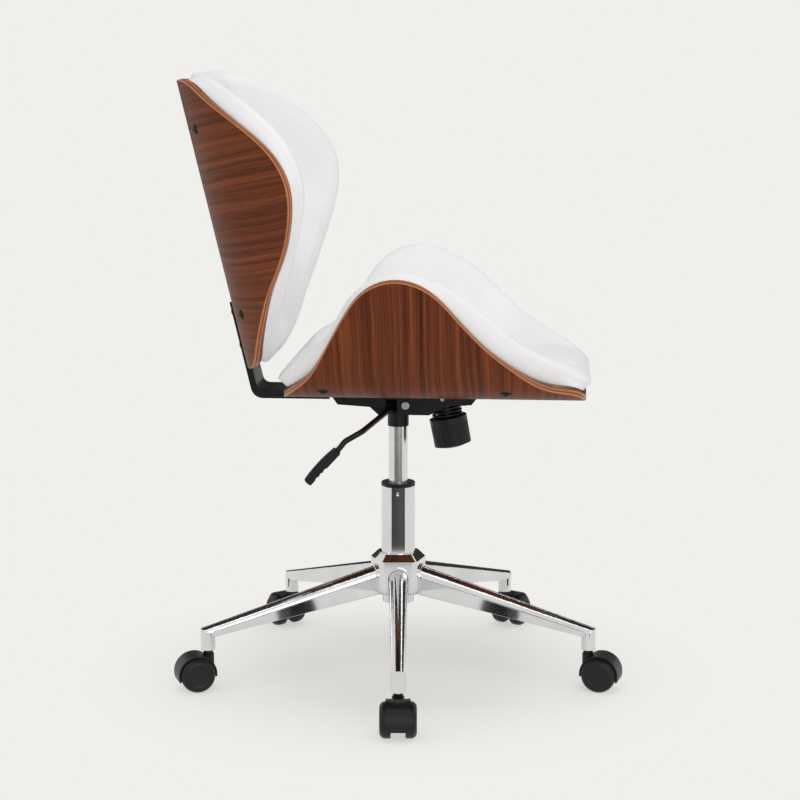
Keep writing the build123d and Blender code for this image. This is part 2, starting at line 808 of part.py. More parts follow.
with BuildPart() as lever_rod:
    with BuildLine() as lever_path:
        FilletPolyline(
            lever_inner,
            elbow,
            Vector(*lever_second),
            handle_start - handle_dir * lever_diameter / 2,
            handle_start + handle_dir * rod_in_handle,
            radius=lever_bend,
        )
    with BuildSketch(Plane(origin=lever_inner, z_dir=lever_dir)):
        Circle(lever_diameter / 2)
    sweep()
lever_rod.part.label = "lever_rod"
export_step(lever_rod.part, "parts/lever_rod.step")

handle_across = (Vector(0, 1, 0) - handle_dir * handle_dir.Y).normalized()
handle_plane = Plane(origin=handle_start, x_dir=handle_dir, z_dir=handle_across)

with BuildPart() as lever_handle:
    with BuildSketch(handle_plane.offset(-handle_width / 2)):
        with BuildLine():
            half = handle_thickness / 2
            ThreePointArc((0, half), (handle_length / 2, half + handle_crown), (handle_length, half))
            ThreePointArc((handle_length, half), (handle_length + handle_tip, 0), (handle_length, -half))
            groove_ends = [handle_plain + groove_pitch * i for i in range(handle_grooves + 1)]
            Line((handle_length, -half), (groove_ends[-1], -half))
            for near, far in zip(groove_ends, groove_ends[1:]):
                ThreePointArc((near, -half), ((near + far) / 2, -half + groove_depth), (far, -half))
            Line((groove_ends[0], -half), (0, -half))
            Line((0, -half), (0, half))
        make_face()
    extrude(amount=handle_width)
    with BuildSketch(Plane(origin=handle_start, z_dir=handle_dir)):
        Circle(lever_diameter / 2 + fit)
    extrude(amount=rod_in_handle + gap, mode=Mode.SUBTRACT)
lever_handle.part.label = "lever_handle"
export_step(lever_handle.part, "parts/lever_handle.step")

# Bent shells: the section across the chair is a flat, a bend and a straight wing on each side

recline = radians(back_recline)
spine = Vector(-sin(recline), 0, cos(recline))
back_foot = Vector(back_foot_x, 0, back_foot_z)
seat_across = Plane(origin=(0, 0, seat_underside), x_dir=(0, 1, 0), z_dir=(1, 0, 0))
seat_side = Plane(origin=(0, 0, seat_underside), x_dir=(1, 0, 0), z_dir=(0, -1, 0))
back_across = Plane(origin=back_foot, x_dir=(0, -1, 0), z_dir=spine)
back_side = Plane(origin=back_foot, x_dir=spine, z_dir=(0, 1, 0))
seat_bends = (seat_flat, seat_bend, seat_wing_angle)
back_bends = (back_flat, back_bend, back_wing_angle)


def wing_outline(start, end, peak, height, start_edge, end_edge):
    points = [(start, -edge_below)]
    points += [(start + (peak - start) * run, height * rise) for run, rise in start_edge]
    points.append((peak, height))
    points += [(end + (peak - end) * run, height * rise) for run, rise in reversed(end_edge)]
    points.append((end, -edge_below))
    return points


def bent_skin(across, side, bends, outline):
    flat, bend, angle = bends
    reach = abs(outline[0][0]) + abs(outline[-1][0])
    with BuildPart() as form:
        with BuildSketch(across):
            with BuildLine():
                floor = Line((0, 0), (flat, 0))
                turn = JernArc(floor @ 1, (1, 0), bend, angle)
                wing = Line(turn @ 1, turn @ 1 + turn % 1 * bend * 2)
                Polyline(wing @ 1, (0, (wing @ 1).Y), (0, 0))
            make_face()
            mirror(about=Plane.YZ)
        extrude(amount=reach, both=True)
        with BuildSketch(side):
            with BuildLine():
                Spline(*outline)
                Line(outline[-1], outline[0])
            make_face()
        extrude(amount=reach, both=True, mode=Mode.INTERSECT)
    outward = -across.y_dir
    skin = []
    for face in form.faces():
        if face.geom_type in (GeomType.PLANE, GeomType.CYLINDER):
            if face.normal_at(face.center()).dot(outward) > facing_out:
                skin.append(face)
    return skin


seat_outline = wing_outline(
    seat_rear, seat_front, seat_wing_x, seat_wing_height, seat_rear_edge, seat_front_edge
)
back_outline = wing_outline(
    0, back_height, back_wing_w, back_wing_reach, back_low_edge, back_high_edge
)
seat_inner_outline = wing_outline(
    seat_rear + board_inset,
    seat_front - board_inset,
    seat_wing_x,
    seat_wing_height - board_inset,
    seat_rear_edge,
    seat_front_edge,
)
back_inner_outline = wing_outline(
    board_inset,
    back_height - board_inset,
    back_wing_w,
    back_wing_reach - board_inset,
    back_low_edge,
    back_high_edge,
)


def on_bend(bends, run, depth):
    flat, bend, angle = bends
    limit = radians(angle)
    if run <= flat:
        return Vector(run, depth)
    turn = min((run - flat) / bend, limit)
    straight = max(run - flat - bend * limit, 0)
    x = flat + (bend - depth) * sin(turn) + straight * cos(limit)
    y = bend - (bend - depth) * cos(turn) + straight * sin(limit)
    return Vector(x, y)


def screw_planes(across, bends, spots):
    flat, bend, angle = bends
    planes = []
    for along, run in spots:
        for side in (-1, 1):
            turn = min((run - flat) / bend, radians(angle))
            spot = on_bend(bends, run, 0)
            foot = across.origin + across.z_dir * along
            origin = foot + across.x_dir * side * spot.X + across.y_dir * spot.Y
            inward = across.x_dir * -side * sin(turn) + across.y_dir * cos(turn)
            planes.append(Plane(origin=origin, x_dir=across.z_dir, z_dir=inward))
    return planes


seat_screw_planes = screw_planes(seat_across, seat_bends, seat_screw_spots)
back_screw_planes = screw_planes(back_across, back_bends, back_screw_spots)
plate_bolt_spots = [
    Plane(origin=(x, y, seat_underside))
    for x in (plate_bolt_rear, plate_bolt_front)
    for y in (-plate_bolt_y, plate_bolt_y)
]
bracket_seat_spots = [
    Plane(origin=(x, y, seat_underside))
    for x in bracket_seat_bolts
    for y in (-bracket_bolt_y, bracket_bolt_y)
]
back_normal = Vector(cos(recline), 0, sin(recline))
bracket_back_spots = [
    Plane(origin=back_foot + spine * w + Vector(0, y, 0), x_dir=spine, z_dir=back_normal)
    for w in bracket_back_bolts
    for y in (-bracket_bolt_y, bracket_bolt_y)
]

with BuildPart() as seat_shell:
    for face in bent_skin(seat_across, seat_side, seat_bends, seat_outline):
        thicken(face, amount=-ply)
    for spot in seat_screw_planes:
        with BuildSketch(spot):
            Circle(screw_shank / 2 + fit)
        extrude(amount=ply + board, both=True, mode=Mode.SUBTRACT)
    for spot in plate_bolt_spots + bracket_seat_spots:
        with BuildSketch(spot):
            Circle(bolt_shank / 2 + fit)
        extrude(amount=bolt_reach + gap, mode=Mode.SUBTRACT)
seat_shell.part.label = "seat_shell"
export_step(seat_shell.part, "parts/seat_shell.step")

with BuildPart() as back_shell:
    for face in bent_skin(back_across, back_side, back_bends, back_outline):
        thicken(face, amount=-ply)
    for spot in back_screw_planes:
        with BuildSketch(spot):
            Circle(screw_shank / 2 + fit)
        extrude(amount=ply + board, both=True, mode=Mode.SUBTRACT)
    for spot in bracket_back_spots:
        with BuildSketch(spot):
            Circle(bolt_shank / 2 + fit)
        extrude(amount=bolt_reach + gap, mode=Mode.SUBTRACT)
back_shell.part.label = "back_shell"
export_step(back_shell.part, "parts/back_shell.step")

# Pad boards: thin bent ply under each cushion, held by the shell's screws

with BuildPart() as seat_board:
    inner_skin = bent_skin(seat_across, seat_side, seat_bends, seat_inner_outline)
    for face in inner_skin:
        thicken(face, amount=-(ply + board))
    for face in inner_skin:
        thicken(face, amount=-ply, mode=Mode.SUBTRACT)
    for spot in seat_screw_planes:
        with BuildSketch(spot):
            Circle(screw_shank / 2 + fit)
        extrude(amount=2 * ply, mode=Mode.SUBTRACT)
seat_board.part.label = "seat_board"
export_step(seat_board.part, "parts/seat_board.step")

with BuildPart() as back_board:
    inner_skin = bent_skin(back_across, back_side, back_bends, back_inner_outline)
    for face in inner_skin:
        thicken(face, amount=-(ply + board))
    for face in inner_skin:
        thicken(face, amount=-ply, mode=Mode.SUBTRACT)
    for spot in back_screw_planes:
        with BuildSketch(spot):
            Circle(screw_shank / 2 + fit)
        extrude(amount=2 * ply, mode=Mode.SUBTRACT)
back_board.part.label = "back_board"
export_step(back_board.part, "parts/back_board.step")

# Cushions: lofts across the chair, thick in the middle, drawn in at the rim

pad_low = ply + board + gap


def run_at(bends, height):
    flat, bend, angle = bends
    limit = radians(angle)
    knee = bend * (1 - cos(limit))
    if height >= knee:
        return flat + bend * limit + (height - knee) / sin(limit)
    return flat + bend * acos(1 - max(height, 0) / bend)


def pad_section(bends, reach, high):
    flat, bend, angle = bends
    low = pad_low
    share = (high - low) / pad_thickness
    tuck, roll = pad_tuck * share, pad_roll * share
    knee = flat + bend * radians(angle)
    low_end, high_end = reach - tuck, reach - roll
    low_turn = (min(knee, low_end - edge_below) - flat) / bend
    high_turn = (min(knee, high_end - edge_below) - flat) / bend
    belly = on_bend(bends, reach, low + (high - low) * pad_belly)
    with BuildSketch() as section:
        with BuildLine():
            Line((0, low), (flat, low))
            turn = CenterArc((flat, bend), bend - low, -90, degrees(low_turn))
            side = Line(turn @ 1, on_bend(bends, low_end, low))
            top = on_bend(bends, high_end, high)
            ThreePointArc(side @ 1, belly, top)
            back = CenterArc((flat, bend), bend - high, -90, degrees(high_turn))
            Line(top, back @ 1)
            Line((flat, high), (0, high))
            mirror(about=Plane.YZ)
        make_face()
    return section.sketch


def pad_sections(bends, outline):
    with BuildLine() as edge:
        Spline(*outline)
    rim = edge.edges()[0]
    first, last = outline[0][0], outline[-1][0]
    sections = []
    step = (1 - 2 * pad_ends[-1]) / pad_middle
    middle = [pad_ends[-1] + step * i for i in range(1, pad_middle)]
    for station in [*pad_ends, *middle, *[1 - end for end in reversed(pad_ends)]]:
        spot = rim @ station
        inward = min(spot.X - first, last - spot.X, pad_rim) / pad_rim
        full = pad_nose + (1 - pad_nose) * sqrt(1 - (1 - inward) ** 2)
        high = pad_low + pad_thickness * full
        reach = max(run_at(bends, spot.Y), bends[0] + pad_roll + 4 * edge_below)
        sections.append((spot.X, reach, high))
    return sections


seat_pad_outline = wing_outline(
    seat_pad_rear, seat_pad_front, seat_pad_x, seat_pad_height, seat_pad_rear_edge, seat_pad_front_edge
)
back_pad_outline = wing_outline(
    back_pad_low, back_pad_high, back_pad_w, back_pad_reach, back_pad_low_edge, back_pad_high_edge
)

with BuildPart() as seat_cushion:
    for along, reach, high in pad_sections(seat_bends, seat_pad_outline):
        with BuildSketch(seat_across.offset(along)):
            add(pad_section(seat_bends, reach, high))
    loft(ruled=True)
seat_cushion.part.label = "seat_cushion"
export_step(seat_cushion.part, "parts/seat_cushion.step")

with BuildPart() as back_cushion:
    for along, reach, high in pad_sections(back_bends, back_pad_outline):
        with BuildSketch(back_across.offset(along)):
            add(pad_section(back_bends, reach, high))
    loft(ruled=True)
back_cushion.part.label = "back_cushion"
export_step(back_cushion.part, "parts/back_cushion.step")

# Domed screws and bolts: head below the plane, shank above it


def domed_bolt(head, head_height, shank, length):
    rim = head_height / 3
    dome = head_height - rim
    radius = ((head / 2) ** 2 + dome**2) / (2 * dome)
    with BuildPart() as bolt:
        with BuildSketch(Plane.XZ):
            with BuildLine():
                Polyline(
                    (0, -running - head_height),
                    (0, length),
                    (shank / 2, length),
                    (shank / 2, -running),
                    (head / 2, -running),
                    (head / 2, -running - rim),
                )
                centre = (0, -running - head_height + radius)
                CenterArc(centre, radius, -90, degrees(asin(head / 2 / radius)))
            make_face()
        revolve(axis=Axis.Z)
    return bolt.part


shell_screw = domed_bolt(screw_head, screw_head_height, screw_shank, ply + board)
bracket_bolt = domed_bolt(bolt_head, bolt_head_height, bolt_shank, bracket_web + bolt_reach)
plate_bolt = domed_bolt(bolt_head, bolt_head_height, bolt_shank, housing_wall + bolt_reach)

with BuildPart() as seat_screws:
    with Locations(*[spot.location for spot in seat_screw_planes]):
        add(shell_screw)
seat_screws.part.label = "seat_screws"
export_step(seat_screws.part, "parts/seat_screws.step")

with BuildPart() as back_screws:
    with Locations(*[spot.location for spot in back_screw_planes]):
        add(shell_screw)
back_screws.part.label = "back_screws"
export_step(back_screws.part, "parts/back_screws.step")

with BuildPart() as plate_bolts:
    with Locations(*[spot.offset(-housing_wall).location for spot in plate_bolt_spots]):
        add(plate_bolt)
plate_bolts.part.label = "plate_bolts"
export_step(plate_bolts.part, "parts/plate_bolts.step")

with BuildPart() as bracket_bolts:
    bracket_spots = bracket_seat_spots + bracket_back_spots
    with Locations(*[spot.offset(-bracket_web).location for spot in bracket_spots]):
        add(bracket_bolt)
bracket_bolts.part.label = "bracket_bolts"
export_step(bracket_bolts.part, "parts/bracket_bolts.step")

# Back bracket: pressed channel from the back, round the corner, under the seat

bracket_front = housing_rear - gap


def on_back(w, u):
    spot = back_foot + spine * w + back_normal * u
    return spot.X, spot.Z


def bracket_corner(u, z):
    return on_back((z - back_foot_z - u * sin(recline)) / cos(recline), u)


with BuildPart() as back_bracket:
    with BuildSketch(Plane.XZ) as flange:
        seat_low = seat_underside - bracket_seat_depth
        with BuildLine():
            Polyline(
                on_back(bracket_top, -bracket_back_depth),
                bracket_corner(-bracket_back_depth, seat_low),
                (bracket_front, seat_low),
                (bracket_front, seat_underside),
                bracket_corner(0, seat_underside),
                on_back(bracket_top, 0),
                close=True,
            )
        make_face()
        low_corner = bracket_corner(-bracket_back_depth, seat_low)
        inner_corner = bracket_corner(0, seat_underside)
        fillet(flange.vertices().sort_by_distance(low_corner)[0:1], radius=bracket_bend)
        fillet(flange.vertices().sort_by_distance(inner_corner)[0:1], radius=bracket_inner_bend)
    extrude(amount=bracket_half, both=True)
    extrude(flange.sketch, amount=bracket_half - bracket_side, both=True, mode=Mode.SUBTRACT)
    with BuildSketch(Plane.XZ) as web:
        web_low = seat_underside - bracket_web
        with BuildLine():
            Polyline(
                on_back(bracket_top, -bracket_web),
                bracket_corner(-bracket_web, web_low),
                (bracket_front, web_low),
                (bracket_front, seat_underside),
                bracket_corner(0, seat_underside),
                on_back(bracket_top, 0),
                close=True,
            )
        make_face()
        outer_corner = bracket_corner(-bracket_web, web_low)
        fillet(web.vertices().sort_by_distance(outer_corner)[0:1], radius=bracket_inner_bend + bracket_web)
        fillet(web.vertices().sort_by_distance(inner_corner)[0:1], radius=bracket_inner_bend)
    extrude(amount=bracket_half, both=True)
    for spot in bracket_spots:
        with BuildSketch(spot.offset(-2 * bracket_web)):
            Circle(bolt_shank / 2 + fit)
        extrude(amount=2 * bracket_web, mode=Mode.SUBTRACT)
back_bracket.part.label = "back_bracket"
export_step(back_bracket.part, "parts/back_bracket.step")

# Casters: hood, stem, axle and two wheels, drawn on the leg along +X and turned to each leg

wheel_radius = wheel_diameter / 2
axle_x = star_radius + caster_trail
caster_side = Plane(origin=(axle_x, 0, axle_height), x_dir=(1, 0, 0), z_dir=(0, -1, 0))
hood_inner = wheel_radius + hood_gap
hood_outer = hood_inner + hood_wall
hood_sweep = hood_front_angle - hood_rear_angle
stem_low = stem_boss_top - stem_seat
collar_top = socket_bottom - gap

with BuildPart() as hood:
    with BuildSketch(caster_side):
        with BuildLine():
            outer_arc = CenterArc((0, 0), hood_outer, hood_rear_angle, hood_sweep)
            inner_arc = CenterArc((0, 0), hood_inner, hood_rear_angle, hood_sweep)
            Line(outer_arc @ 0, inner_arc @ 0)
            Line(outer_arc @ 1, inner_arc @ 1)
        make_face()
    extrude(amount=hood_width / 2, both=True)
    with BuildSketch(caster_side):
        with BuildLine():
            pie = CenterArc((0, 0), hood_inner + hood_wall / 2, hood_rear_angle, hood_sweep)
            Line((0, 0), pie @ 0)
            Line((0, 0), pie @ 1)
        make_face()
        Circle(axle_boss / 2)
    extrude(amount=hood_web / 2, both=True)
    with BuildSketch(Plane.XY.offset(axle_height)):
        with Locations((star_radius, 0)):
            Circle(stem_boss / 2)
    extrude(amount=stem_boss_top - axle_height)
    with BuildSketch(Plane.XY.offset(stem_low - gap)):
        with Locations((star_radius, 0)):
            Circle(stem_diameter / 2 + fit)
    extrude(amount=stem_boss_top, mode=Mode.SUBTRACT)
    with BuildSketch(caster_side):
        Circle(axle_diameter / 2 + fit)
    extrude(amount=hood_width, both=True, mode=Mode.SUBTRACT)

with BuildPart() as stem:
    with BuildSketch(Plane.XY.offset(stem_low)):
        with Locations((star_radius, 0)):
            Circle(stem_diameter / 2)
    extrude(amount=stem_top - stem_low)
    with BuildSketch(Plane.XY.offset(stem_boss_top + running)):
        with Locations((star_radius, 0)):
            Circle(stem_collar / 2)
    extrude(amount=collar_top - stem_boss_top)
    chamfer(stem.edges().group_by(Axis.Z)[-1], length=stem_diameter / 10)

axle_half = wheel_spacing / 2 + axle_seat - gap

with BuildPart() as axle:
    with BuildSketch(caster_side):
        Circle(axle_diameter / 2)
    extrude(amount=axle_half, both=True)
    chamfer(axle.edges().filter_by(GeomType.CIRCLE), length=axle_diameter / 10)


def caster_wheel(side):
    inner = wheel_spacing / 2
    outer = inner + wheel_width
    dish = wheel_radius - 2 * wheel_round
    bore = axle_diameter / 2 + running
    plane = Plane(origin=(axle_x, 0, axle_height), x_dir=(0, 0, 1), z_dir=(-side, 0, 0))
    with BuildPart() as wheel:
        with BuildSketch(plane) as profile:
            with BuildLine():
                Polyline(
                    (bore, inner),
                    (wheel_radius, inner),
                    (wheel_radius, outer),
                    (dish, outer),
                    (dish - wheel_recess, outer - wheel_recess),
                    (0, outer - wheel_recess),
                    (0, inner + axle_seat),
                    (bore, inner + axle_seat),
                    close=True,
                )
            make_face()
            fillet(profile.vertices().sort_by_distance((wheel_radius, outer))[0:1], radius=wheel_round)
        revolve(axis=Axis((axle_x, 0, axle_height), (0, 1, 0)))
    return wheel.part


near_wheel = caster_wheel(-1)
far_wheel = caster_wheel(1)

for number, angle in enumerate(leg_angles, start=1):
    place = Location((0, 0, 0), (0, 0, angle))
    for name, piece in (
        ("caster_hood", hood.part),
        ("caster_stem", stem.part),
        ("caster_axle", axle.part),
        ("caster_wheel_a", near_wheel),
        ("caster_wheel_b", far_wheel),
    ):
        with BuildPart() as placed:
            with Locations(place):
                add(piece)
        placed.part.label = f"{name}_{number}"
        export_step(placed.part, f"parts/{name}_{number}.step")
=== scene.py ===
import bmesh
import bpy
import json
import math
import numpy as np
from mathutils import Matrix, Vector

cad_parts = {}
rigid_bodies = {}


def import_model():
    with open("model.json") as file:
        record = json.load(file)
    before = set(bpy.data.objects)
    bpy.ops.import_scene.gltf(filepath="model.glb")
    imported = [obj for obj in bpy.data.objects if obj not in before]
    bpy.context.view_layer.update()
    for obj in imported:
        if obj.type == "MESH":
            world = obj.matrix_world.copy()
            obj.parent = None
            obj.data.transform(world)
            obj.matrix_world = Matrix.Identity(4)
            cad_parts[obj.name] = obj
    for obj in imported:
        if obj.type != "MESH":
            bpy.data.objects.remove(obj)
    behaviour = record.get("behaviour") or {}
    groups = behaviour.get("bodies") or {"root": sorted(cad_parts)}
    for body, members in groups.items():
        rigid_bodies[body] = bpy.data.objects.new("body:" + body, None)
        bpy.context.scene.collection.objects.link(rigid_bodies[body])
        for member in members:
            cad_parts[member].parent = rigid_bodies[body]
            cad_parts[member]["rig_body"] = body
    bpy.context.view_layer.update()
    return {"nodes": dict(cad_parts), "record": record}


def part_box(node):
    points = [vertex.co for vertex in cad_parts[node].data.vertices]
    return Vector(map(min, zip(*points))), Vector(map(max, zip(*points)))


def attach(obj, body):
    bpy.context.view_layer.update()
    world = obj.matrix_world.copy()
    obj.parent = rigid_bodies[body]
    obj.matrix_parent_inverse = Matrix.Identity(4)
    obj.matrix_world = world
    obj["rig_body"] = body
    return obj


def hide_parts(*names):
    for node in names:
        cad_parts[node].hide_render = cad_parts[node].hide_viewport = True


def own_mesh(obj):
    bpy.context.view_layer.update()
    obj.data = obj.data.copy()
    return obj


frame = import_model()
nodes = frame["nodes"]
scene = bpy.context.scene
print("frame loaded,", len(nodes), "nodes")


# Small shader helpers

def tone(red, green, blue):  # a screen colour, 0 to 255, made linear for the shader
    def linear(value):
        value /= 255
        return value / 12.92 if value <= 0.04045 else ((value + 0.055) / 1.055) ** 2.4

    return (linear(red), linear(green), linear(blue), 1)


def grey(value):
    return (value, value, value, 1)


def addNode(tree, kind, inputs=None, **settings):
    node = tree.nodes.new(kind)
    for name, value in settings.items():
        setattr(node, name, value)
    for name, value in (inputs or {}).items():
        if isinstance(value, bpy.types.NodeSocket):
            tree.links.new(value, node.inputs[name])
        else:
            node.inputs[name].default_value = value
    return node


def addMath(tree, operation, *values):
    return addNode(tree, "ShaderNodeMath", dict(enumerate(values)), operation=operation).outputs[0]


def addRamp(tree, factor, stops):
    node = addNode(tree, "ShaderNodeValToRGB", {"Fac": factor})
    elements = node.color_ramp.elements
    for element, (place, colour) in zip(elements, (stops[0], stops[-1])):
        element.position = place
        element.color = colour
    for place, colour in stops[1:-1]:
        elements.new(place).color = colour
    return node.outputs["Color"]


def addNoise(tree, coords, scale, detail=3.0):  # scale is one number, or three for a stretched pattern
    if isinstance(scale, tuple):
        coords = addNode(tree, "ShaderNodeMapping", {"Vector": coords, "Scale": scale}).outputs["Vector"]
        scale = 1.0
    noise = addNode(tree, "ShaderNodeTexNoise", {"Vector": coords, "Scale": scale, "Detail": detail})
    return noise.outputs["Fac"]


def addBump(tree, height, strength, distance, under=None):
    inputs = {"Height": height, "Strength": strength, "Distance": distance}
    if under:
        inputs["Normal"] = under
    return addNode(tree, "ShaderNodeBump", inputs).outputs["Normal"]


def addRange(tree, value, low, high):
    span = addNode(tree, "ShaderNodeMapRange", {"Value": value, "To Min": low, "To Max": high})
    return span.outputs["Result"]


def multiplied(tree, first, second):
    inputs = {0: 1.0, 6: first, 7: second}
    return addNode(tree, "ShaderNodeMix", inputs, data_type="RGBA", blend_type="MULTIPLY").outputs[2]


def newMaterial(name):
    material = bpy.data.materials.new(name)
    material.use_nodes = True
    return material, material.node_tree, material.node_tree.nodes["Principled BSDF"]


def objectCoords(tree):
    return addNode(tree, "ShaderNodeTexCoord").outputs["Object"]


def uvCoords(tree):
    return addNode(tree, "ShaderNodeTexCoord").outputs["UV"]


def wire(tree, shader, **sockets):
    names = {"colour": "Base Color", "roughness": "Roughness", "normal": "Normal"}
    for name, value in sockets.items():
        tree.links.new(value, shader.inputs[names[name]])


# Finishes, one function each

walnut = {
    "dark": tone(76, 36, 21),
    "body": tone(107, 54, 30),
    "light": tone(133, 73, 42),
    "bandScale": (1.2, 140, 1),  # pattern repeats a metre, along the grain and across it
    "streakScale": (4.5, 560, 1),
    "poreScale": (26, 1500, 1),
    "driftScale": 3.2,
    "wander": 0.026,  # how far the grain drifts sideways
    "streakShade": 0.68,
    "poreShade": 0.62,
    "roughness": (0.4, 0.54),
    "specular": 0.1,
}


def makeWalnut():
    material, tree, shader = newMaterial("walnutVeneer")
    uv = uvCoords(tree)
    drift = addNode(tree, "ShaderNodeTexNoise", {"Vector": uv, "Scale": walnut["driftScale"], "Detail": 2.0})
    bend = {0: drift.outputs["Color"], 1: (0, walnut["wander"], 0), 2: uv}
    grain = addNode(tree, "ShaderNodeVectorMath", bend, operation="MULTIPLY_ADD").outputs[0]
    bands = addNoise(tree, grain, walnut["bandScale"], 4.0)
    streaks = addNoise(tree, grain, walnut["streakScale"], 4.0)
    pores = addNoise(tree, grain, walnut["poreScale"], 2.0)
    colour = addRamp(tree, bands, ((0.28, walnut["dark"]), (0.5, walnut["body"]), (0.74, walnut["light"])))
    streakTone = addRamp(tree, streaks, ((0.32, grey(walnut["streakShade"])), (0.6, grey(1.04))))
    poreTone = addRamp(tree, pores, ((0.3, grey(walnut["poreShade"])), (0.44, grey(1))))
    colour = multiplied(tree, multiplied(tree, colour, streakTone), poreTone)
    roughness = addRange(tree, streaks, *walnut["roughness"])
    wire(tree, shader, colour=colour, roughness=roughness, normal=addBump(tree, pores, 0.12, 0.0004))
    shader.inputs["Specular IOR Level"].default_value = walnut["specular"]
    return material


plyEdge = {
    "light": tone(186, 114, 64),
    "dark": tone(122, 70, 40),
    "layersPerMetre": 200.0,  # pairs of light and dark layers through the board
    "fibreScale": (60, 900, 1),
    "fibreShade": 0.72,
    "roughness": (0.32, 0.46),
}


def makePlyEdge():
    material, tree, shader = newMaterial("plyEdge")
    light, dark = plyEdge["light"], plyEdge["dark"]
    uv = uvCoords(tree)
    depth = addNode(tree, "ShaderNodeSeparateXYZ", {"Vector": uv}).outputs["Y"]
    layer = addMath(tree, "FRACT", addMath(tree, "MULTIPLY", depth, plyEdge["layersPerMetre"]))
    colour = addRamp(tree, layer, ((0.0, light), (0.42, light), (0.5, dark), (0.93, dark)))
    fibres = addNoise(tree, uv, plyEdge["fibreScale"], 3.0)
    fibreTone = addRamp(tree, fibres, ((0.3, grey(plyEdge["fibreShade"])), (0.65, grey(1.05))))
    colour = multiplied(tree, colour, fibreTone)
    roughness = addRange(tree, fibres, *plyEdge["roughness"])
    wire(tree, shader, colour=colour, roughness=roughness, normal=addBump(tree, fibres, 0.15, 0.0003))
    return material


leatherette = {
    "pale": tone(239, 239, 242),
    "shade": tone(233, 233, 236),
    "pebbleScale": 850.0,
    "softScale": 9.0,
    "pitShade": 0.93,
    "roughness": (0.42, 0.56),
    "specular": 0.4,
}


def makeLeatherette():
    material, tree, shader = newMaterial("whiteLeatherette")
    coords = objectCoords(tree)
    cells = {"Vector": coords, "Scale": leatherette["pebbleScale"]}
    pebble = addNode(tree, "ShaderNodeTexVoronoi", cells, feature="SMOOTH_F1").outputs["Distance"]
    soft = addNoise(tree, coords, leatherette["softScale"], 2.0)
    pits = addRamp(tree, pebble, ((0.2, grey(1)), (0.95, grey(leatherette["pitShade"]))))
    colour = addRamp(tree, soft, ((0.35, leatherette["shade"]), (0.6, leatherette["pale"])))
    normal = addBump(tree, soft, 0.12, 0.004)
    normal = addBump(tree, pebble, 0.16, 0.0003, normal)
    roughness = addRange(tree, pebble, *leatherette["roughness"])
    wire(tree, shader, colour=multiplied(tree, colour, pits), roughness=roughness, normal=normal)
    shader.inputs["Specular IOR Level"].default_value = leatherette["specular"]
    return material


chromePlate = {
    "dim": tone(214, 215, 217),
    "bright": tone(228, 229, 230),
    "hazeScale": 14.0,
    "rippleScale": 38.0,
    "polished": (0.05, 0.12),  # roughness of either polish
    "satin": (0.17, 0.26),
}


def makeChrome(polish):
    material, tree, shader = newMaterial(polish + "Chrome")
    coords = objectCoords(tree)
    haze = addNoise(tree, coords, chromePlate["hazeScale"], 4.0)
    ripple = addNoise(tree, coords, chromePlate["rippleScale"], 1.0)
    colour = addRamp(tree, haze, ((0.3, chromePlate["dim"]), (0.7, chromePlate["bright"])))
    roughness = addRange(tree, haze, *chromePlate[polish])
    wire(tree, shader, colour=colour, roughness=roughness, normal=addBump(tree, ripple, 0.03, 0.001))
    shader.inputs["Metallic"].default_value = 1.0
    return material


zincSteel = {
    "dim": tone(168, 169, 172),
    "bright": tone(196, 197, 199),
    "turningScale": (300, 300, 2600),
    "patchScale": 90.0,
    "roughness": (0.22, 0.4),
}


def makeBrightSteel():
    material, tree, shader = newMaterial("zincSteel")
    coords = objectCoords(tree)
    turning = addNoise(tree, coords, zincSteel["turningScale"], 2.0)
    patches = addNoise(tree, coords, zincSteel["patchScale"], 3.0)
    colour = addRamp(tree, patches, ((0.3, zincSteel["dim"]), (0.7, zincSteel["bright"])))
    roughness = addRange(tree, turning, *zincSteel["roughness"])
    wire(tree, shader, colour=colour, roughness=roughness, normal=addBump(tree, turning, 0.08, 0.0002))
    shader.inputs["Metallic"].default_value = 1.0
    return material


powderCoat = {
    "name": "blackPowderCoat",
    "dark": tone(11, 11, 12),
    "pale": tone(18, 18, 19),
    "grainScale": 1700.0,
    "wearScale": 26.0,
    "bump": 0.2,
    "roughness": (0.32, 0.46),
    "specular": 0.28,
}
mouldedPlastic = dict(
    powderCoat,
    name="blackMouldedPlastic",
    dark=tone(17, 17, 18),
    pale=tone(26, 26, 27),
    grainScale=2300.0,
    bump=0.12,
)


def makeBlack(black):
    material, tree, shader = newMaterial(black["name"])
    coords = objectCoords(tree)
    grain = addNoise(tree, coords, black["grainScale"], 2.0)
    wear = addNoise(tree, coords, black["wearScale"], 4.0)
    colour = addRamp(tree, wear, ((0.35, black["dark"]), (0.7, black["pale"])))
    roughness = addRange(tree, wear, *black["roughness"])
    wire(tree, shader, colour=colour, roughness=roughness, normal=addBump(tree, grain, black["bump"], 0.0003))
    shader.inputs["Specular IOR Level"].default_value = black["specular"]
    return material


rawPly = {
    "dark": tone(176, 138, 96),
    "pale": tone(206, 172, 128),
    "grainScale": (260, 4, 260),
    "roughness": (0.6, 0.75),
}


def makeRawPly():
    material, tree, shader = newMaterial("rawPly")
    grain = addNoise(tree, objectCoords(tree), rawPly["grainScale"], 3.0)
    colour = addRamp(tree, grain, ((0.3, rawPly["dark"]), (0.7, rawPly["pale"])))
    wire(tree, shader, colour=colour, roughness=addRange(tree, grain, *rawPly["roughness"]))
    return material


